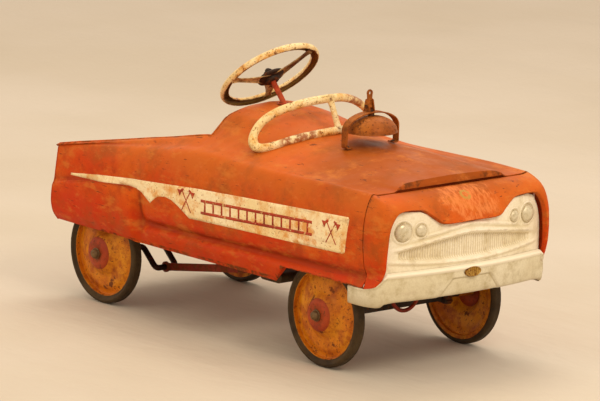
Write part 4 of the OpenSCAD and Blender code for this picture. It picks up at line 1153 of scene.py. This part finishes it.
def make_wheel(label, x, side, body):
    centre, axis = (x, side * WHEEL_Y, AXLE_Z), (0, side, 0)
    face = rounded(DISC_LINE, 2.5, 3)
    back = [(r, h - 1.7) for r, h in reversed(face)]
    disc = piece(f"wheel_face_{label}", lathe(face + back, centre, axis, steps=120), body, YELLOW,
                 [f"disc_{label}"])

    def on_boss(px, py, pz):
        return math.hypot(px - x, pz - AXLE_Z) < BOSS_RADIUS and side * py - WHEEL_Y > BOSS_FOOT

    repaint(disc, BOSS, on_boss)
    hub = [(5.56, -12), (9.2, -12), (9.9, -11), (9.9, 20.2), (9.2, 22), (5.56, 22)]
    inner_rim = [(79.2, -7.6), (79.2, -9.4), (86, -9.4), (86.2, -8.6), (80.6, -7.4), (80.6, 6.4),
                 (79.2, 6.4)]
    barrel = join(lathe(hub, centre, axis, steps=48), lathe(inner_rim, centre, axis, steps=120))
    piece(f"wheel_barrel_{label}", barrel, body, YELLOW, bevel=0.3)
    tread = [(80.9, -7.0), (80.9, 6.2), (83.4, 7.6), (86, 9.2), (86.8, 10.4)]
    tread += arc((88, 4), (7, 7), 1.45, 0.1, 9)
    tread += [(94.9, 2.4), (94.5, 0), (94.9, -2.4)]
    tread += arc((88, -4), (7, 7), -0.1, -1.45, 9)
    tread += [(86.8, -10.4), (86, -9.8), (86.4, -8.4), (82.6, -7.6)]
    piece(f"tyre_ring_{label}", lathe(tread, centre, axis, steps=144), body, RUBBER,
          [f"tyre_{label}"])
    cap_line = [(0.01, 33.1), (3, 32.8), (5.5, 31.8), (7.4, 30.2), (8.6, 28.2), (9, 26.4), (9, 24.8),
                (10.6, 24.2), (10.8, 22.8), (10.2, 22.4), (0.01, 22.4)]
    piece(f"hub_cap_{label}", lathe(cap_line, centre, axis, steps=56, closed=False), body, CAP,
          [f"cap_{label}"])


for wheel_label, (wheel_x, wheel_side, wheel_body) in WHEELS.items():
    make_wheel(wheel_label, wheel_x, wheel_side, wheel_body)

# -------------------------------------------------------------- crank axle
THROW, CRANK_ANGLE = 52, math.radians(42)
WEB_IN, WEB_OUT = 26, 74


def make_crank():
    """One rod, bent into two opposite cranks, with a collar inside each wheel."""
    dx, dz = THROW * math.cos(CRANK_ANGLE), THROW * math.sin(CRANK_ANGLE)
    right, left = (REAR_X + dx, AXLE_Z - dz), (REAR_X - dx, AXLE_Z + dz)
    points = [(REAR_X, -184, AXLE_Z), (REAR_X, -WEB_OUT, AXLE_Z), (right[0], -WEB_OUT, right[1]),
              (right[0], -WEB_IN, right[1]), (REAR_X, -WEB_IN, AXLE_Z), (REAR_X, WEB_IN, AXLE_Z),
              (left[0], WEB_IN, left[1]), (left[0], WEB_OUT, left[1]), (REAR_X, WEB_OUT, AXLE_Z),
              (REAR_X, 184, AXLE_Z)]
    rod = bent_bar(rounded(points, 9, 8), 5.5, 24)
    line = [(5.3, 124), (7.2, 124), (8, 124.8), (8, 148.8), (7.2, 149.6), (5.3, 149.6)]
    collars = [lathe(line, (REAR_X, 0, AXLE_Z), (0, side, 0), steps=40) for side in (-1, 1)]
    piece("crank_axle_rod", join(rod, *collars), "crank", DARK, ["rear_axle"])


def make_loop():
    """A bent rod that hangs down in a half circle ahead of the front beam."""
    half, z = 32, 117
    end = [(267.5, half, 112), (276, half, 122), (288, half, 124)]
    bend = [(290, y, height) for y, height in arc((0, z), (half, half), 0, -math.pi, 19)]
    path = end + bend + [(x, -y, height) for x, y, height in reversed(end)]
    loop = bent_bar(curve(path, 4), 3.6, 16)
    piece("column_loop_rod", loop, "body", MAROON, ["column_loop"])


make_crank()
make_loop()

# ------------------------------------------------- seat and rear panel
SEAT_LINE = [(-118, 204), (-124, 212), (-318, 207), (-350, 246), (-362, 252), (-449, 252)]


def make_seat():
    """One folded sheet: a dished seat, a raised back step and the flat rear deck."""
    line = subdivided(rounded(SEAT_LINE, 9, 6), 8, math.floor)
    half = 190
    rows = []
    for x, z in line:
        dish = 5.5 * hump(x + 225, 62) if x > -320 else 0
        rib = 1.2 * hump(x + 405, 9) if x < -370 else 0
        rows.append([(x, y, z - dish * (1 - (y / half) ** 4) - rib * soft_step(120 - abs(y), 4))
                     for y in np.linspace(-half, half, 77)])
    piece("seat_sheet", surface(rows), "body", RED, ["seat"], sheet=1.8, bevel=0.4, flip=True)


def make_tail():
    """The rear panel, with a shallow pressed field and low corners between the fins."""
    half, low, high = 192, 150, 251
    rows = []
    for t in np.linspace(0, 1, 35):
        z = low + (high - low) * t
        reach = np.interp(z, [low, 200, high], [half, half + 3, half])
        row = []
        for y in np.linspace(-reach, reach, 121):
            lift = max(0.0, (abs(y) - (half - 18)) / 18) * 4 * t
            field = soft_step(165 - abs(y), 2.5) * soft_step(z - 166, 2) * soft_step(236 - z, 2)
            row.append((TAIL_X + 4.4 + 2.4 * field, y, z + lift))
        rows.append(row)
    piece("tail_sheet", surface(rows), "body", RED, ["tail_panel"], sheet=1.6, bevel=0.4)


make_seat()
make_tail()

# ------------------------------------------------ nodes kept from the CAD
KEPT = (
    (COLUMN, ["column_boss"]),
    (MAROON, ["tie_rod", "strap_left", "strap_right"]),
    (RUBBER, ["pedal_left", "pedal_right"]),
    (DARK, ["bell_bolt", "lever_pin", "bracket_rivets", "steering_nut", "rail_bolts", "column_bar",
            "front_beam", "spindle_left", "spindle_right", "hanger_left", "hanger_right", "pivot_rod",
            "pivot_bracket", "rear_rails", "rail_brackets", "axle_hanger_left", "axle_hanger_right",
            "front_rails", "cross_bars", "beam_drops"]),
)
for kept_material, kept_names in KEPT:
    for kept_name in kept_names:
        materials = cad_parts[kept_name].data.materials
        materials.clear()
        materials.append(kept_material)

# -------------------------------------------------- floor, light and camera


def make_floor():
    g = Graph("pale_floor")
    tone = g.mix(g.fade(g.noise(1.2, 3, 0.5), 0.3, 0.7), colour("CBC0B2"), colour("C3B7A6"))
    g.feed(g.shader.inputs["Base Color"], tone)
    g.shader.inputs["Roughness"].default_value = 0.9
    folds = g.noise(2.6, 4, 0.5, stretch=(1.0, 2.2, 1.0))
    g.bump(folds, 18)
    reach = 30
    mesh = bpy.data.meshes.new("floor")
    mesh.from_pydata([(-reach, -reach, 0), (reach, -reach, 0), (reach, reach, 0), (-reach, reach, 0)], [],
                     [(0, 1, 2, 3)])
    mesh.materials.append(g.material)
    floor = bpy.data.objects.new("floor", mesh)
    bpy.context.scene.collection.objects.link(floor)


def area_light(name, place, target, size, power, tint):
    light = bpy.data.lights.new(name, "AREA")
    light.shape = "DISK"
    light.size = size
    light.energy = power
    light.color = tint
    obj = bpy.data.objects.new(name, light)
    obj.location = place
    obj.rotation_mode = "QUATERNION"
    obj.rotation_quaternion = (Vector(target) - Vector(place)).to_track_quat("-Z", "Y")
    bpy.context.scene.collection.objects.link(obj)


def make_lights():
    world = bpy.data.worlds.new("soft studio")
    bpy.context.scene.world = world
    world.use_nodes = True
    background = world.node_tree.nodes["Background"]
    background.inputs["Color"].default_value = colour("F7E6D0")
    background.inputs["Strength"].default_value = 1.1
    middle = (0, 0, 0.2)
    area_light("key", (2.9, -0.4, 2.6), middle, 1.2, 48, (1.0, 0.90, 0.74))
    area_light("fill", (-0.6, -3.2, 1.8), middle, 2.2, 16, (1.0, 0.90, 0.72))
    area_light("top", (-0.8, 0.9, 3.0), middle, 1.6, 34, (1.0, 0.92, 0.78))


def make_camera():
    azimuth, elevation, roll = (math.radians(v) for v in (48.9, 11.66, 1.48))
    distance = 9.654
    target = Vector((0.026, -0.0224, 0.241))
    back = Vector((math.sin(azimuth) * math.cos(elevation), -math.cos(azimuth) * math.cos(elevation),
                   math.sin(elevation)))
    level = Vector((math.cos(azimuth), math.sin(azimuth), 0))
    upright = back.cross(level)
    right = level * math.cos(roll) + upright * math.sin(roll)
    up = -level * math.sin(roll) + upright * math.cos(roll)
    camera = bpy.data.cameras.new("camera")
    camera.lens, camera.sensor_width = 321.8, 36
    camera.clip_start, camera.clip_end = 0.1, 100
    obj = bpy.data.objects.new("camera", camera)
    turn = Matrix((right, up, back)).transposed()
    obj.matrix_world = Matrix.Translation(target + back * distance) @ turn.to_4x4()
    bpy.context.scene.collection.objects.link(obj)
    bpy.context.scene.camera = obj


make_floor()
make_lights()
make_camera()
bpy.context.scene.view_settings.view_transform = "Standard"
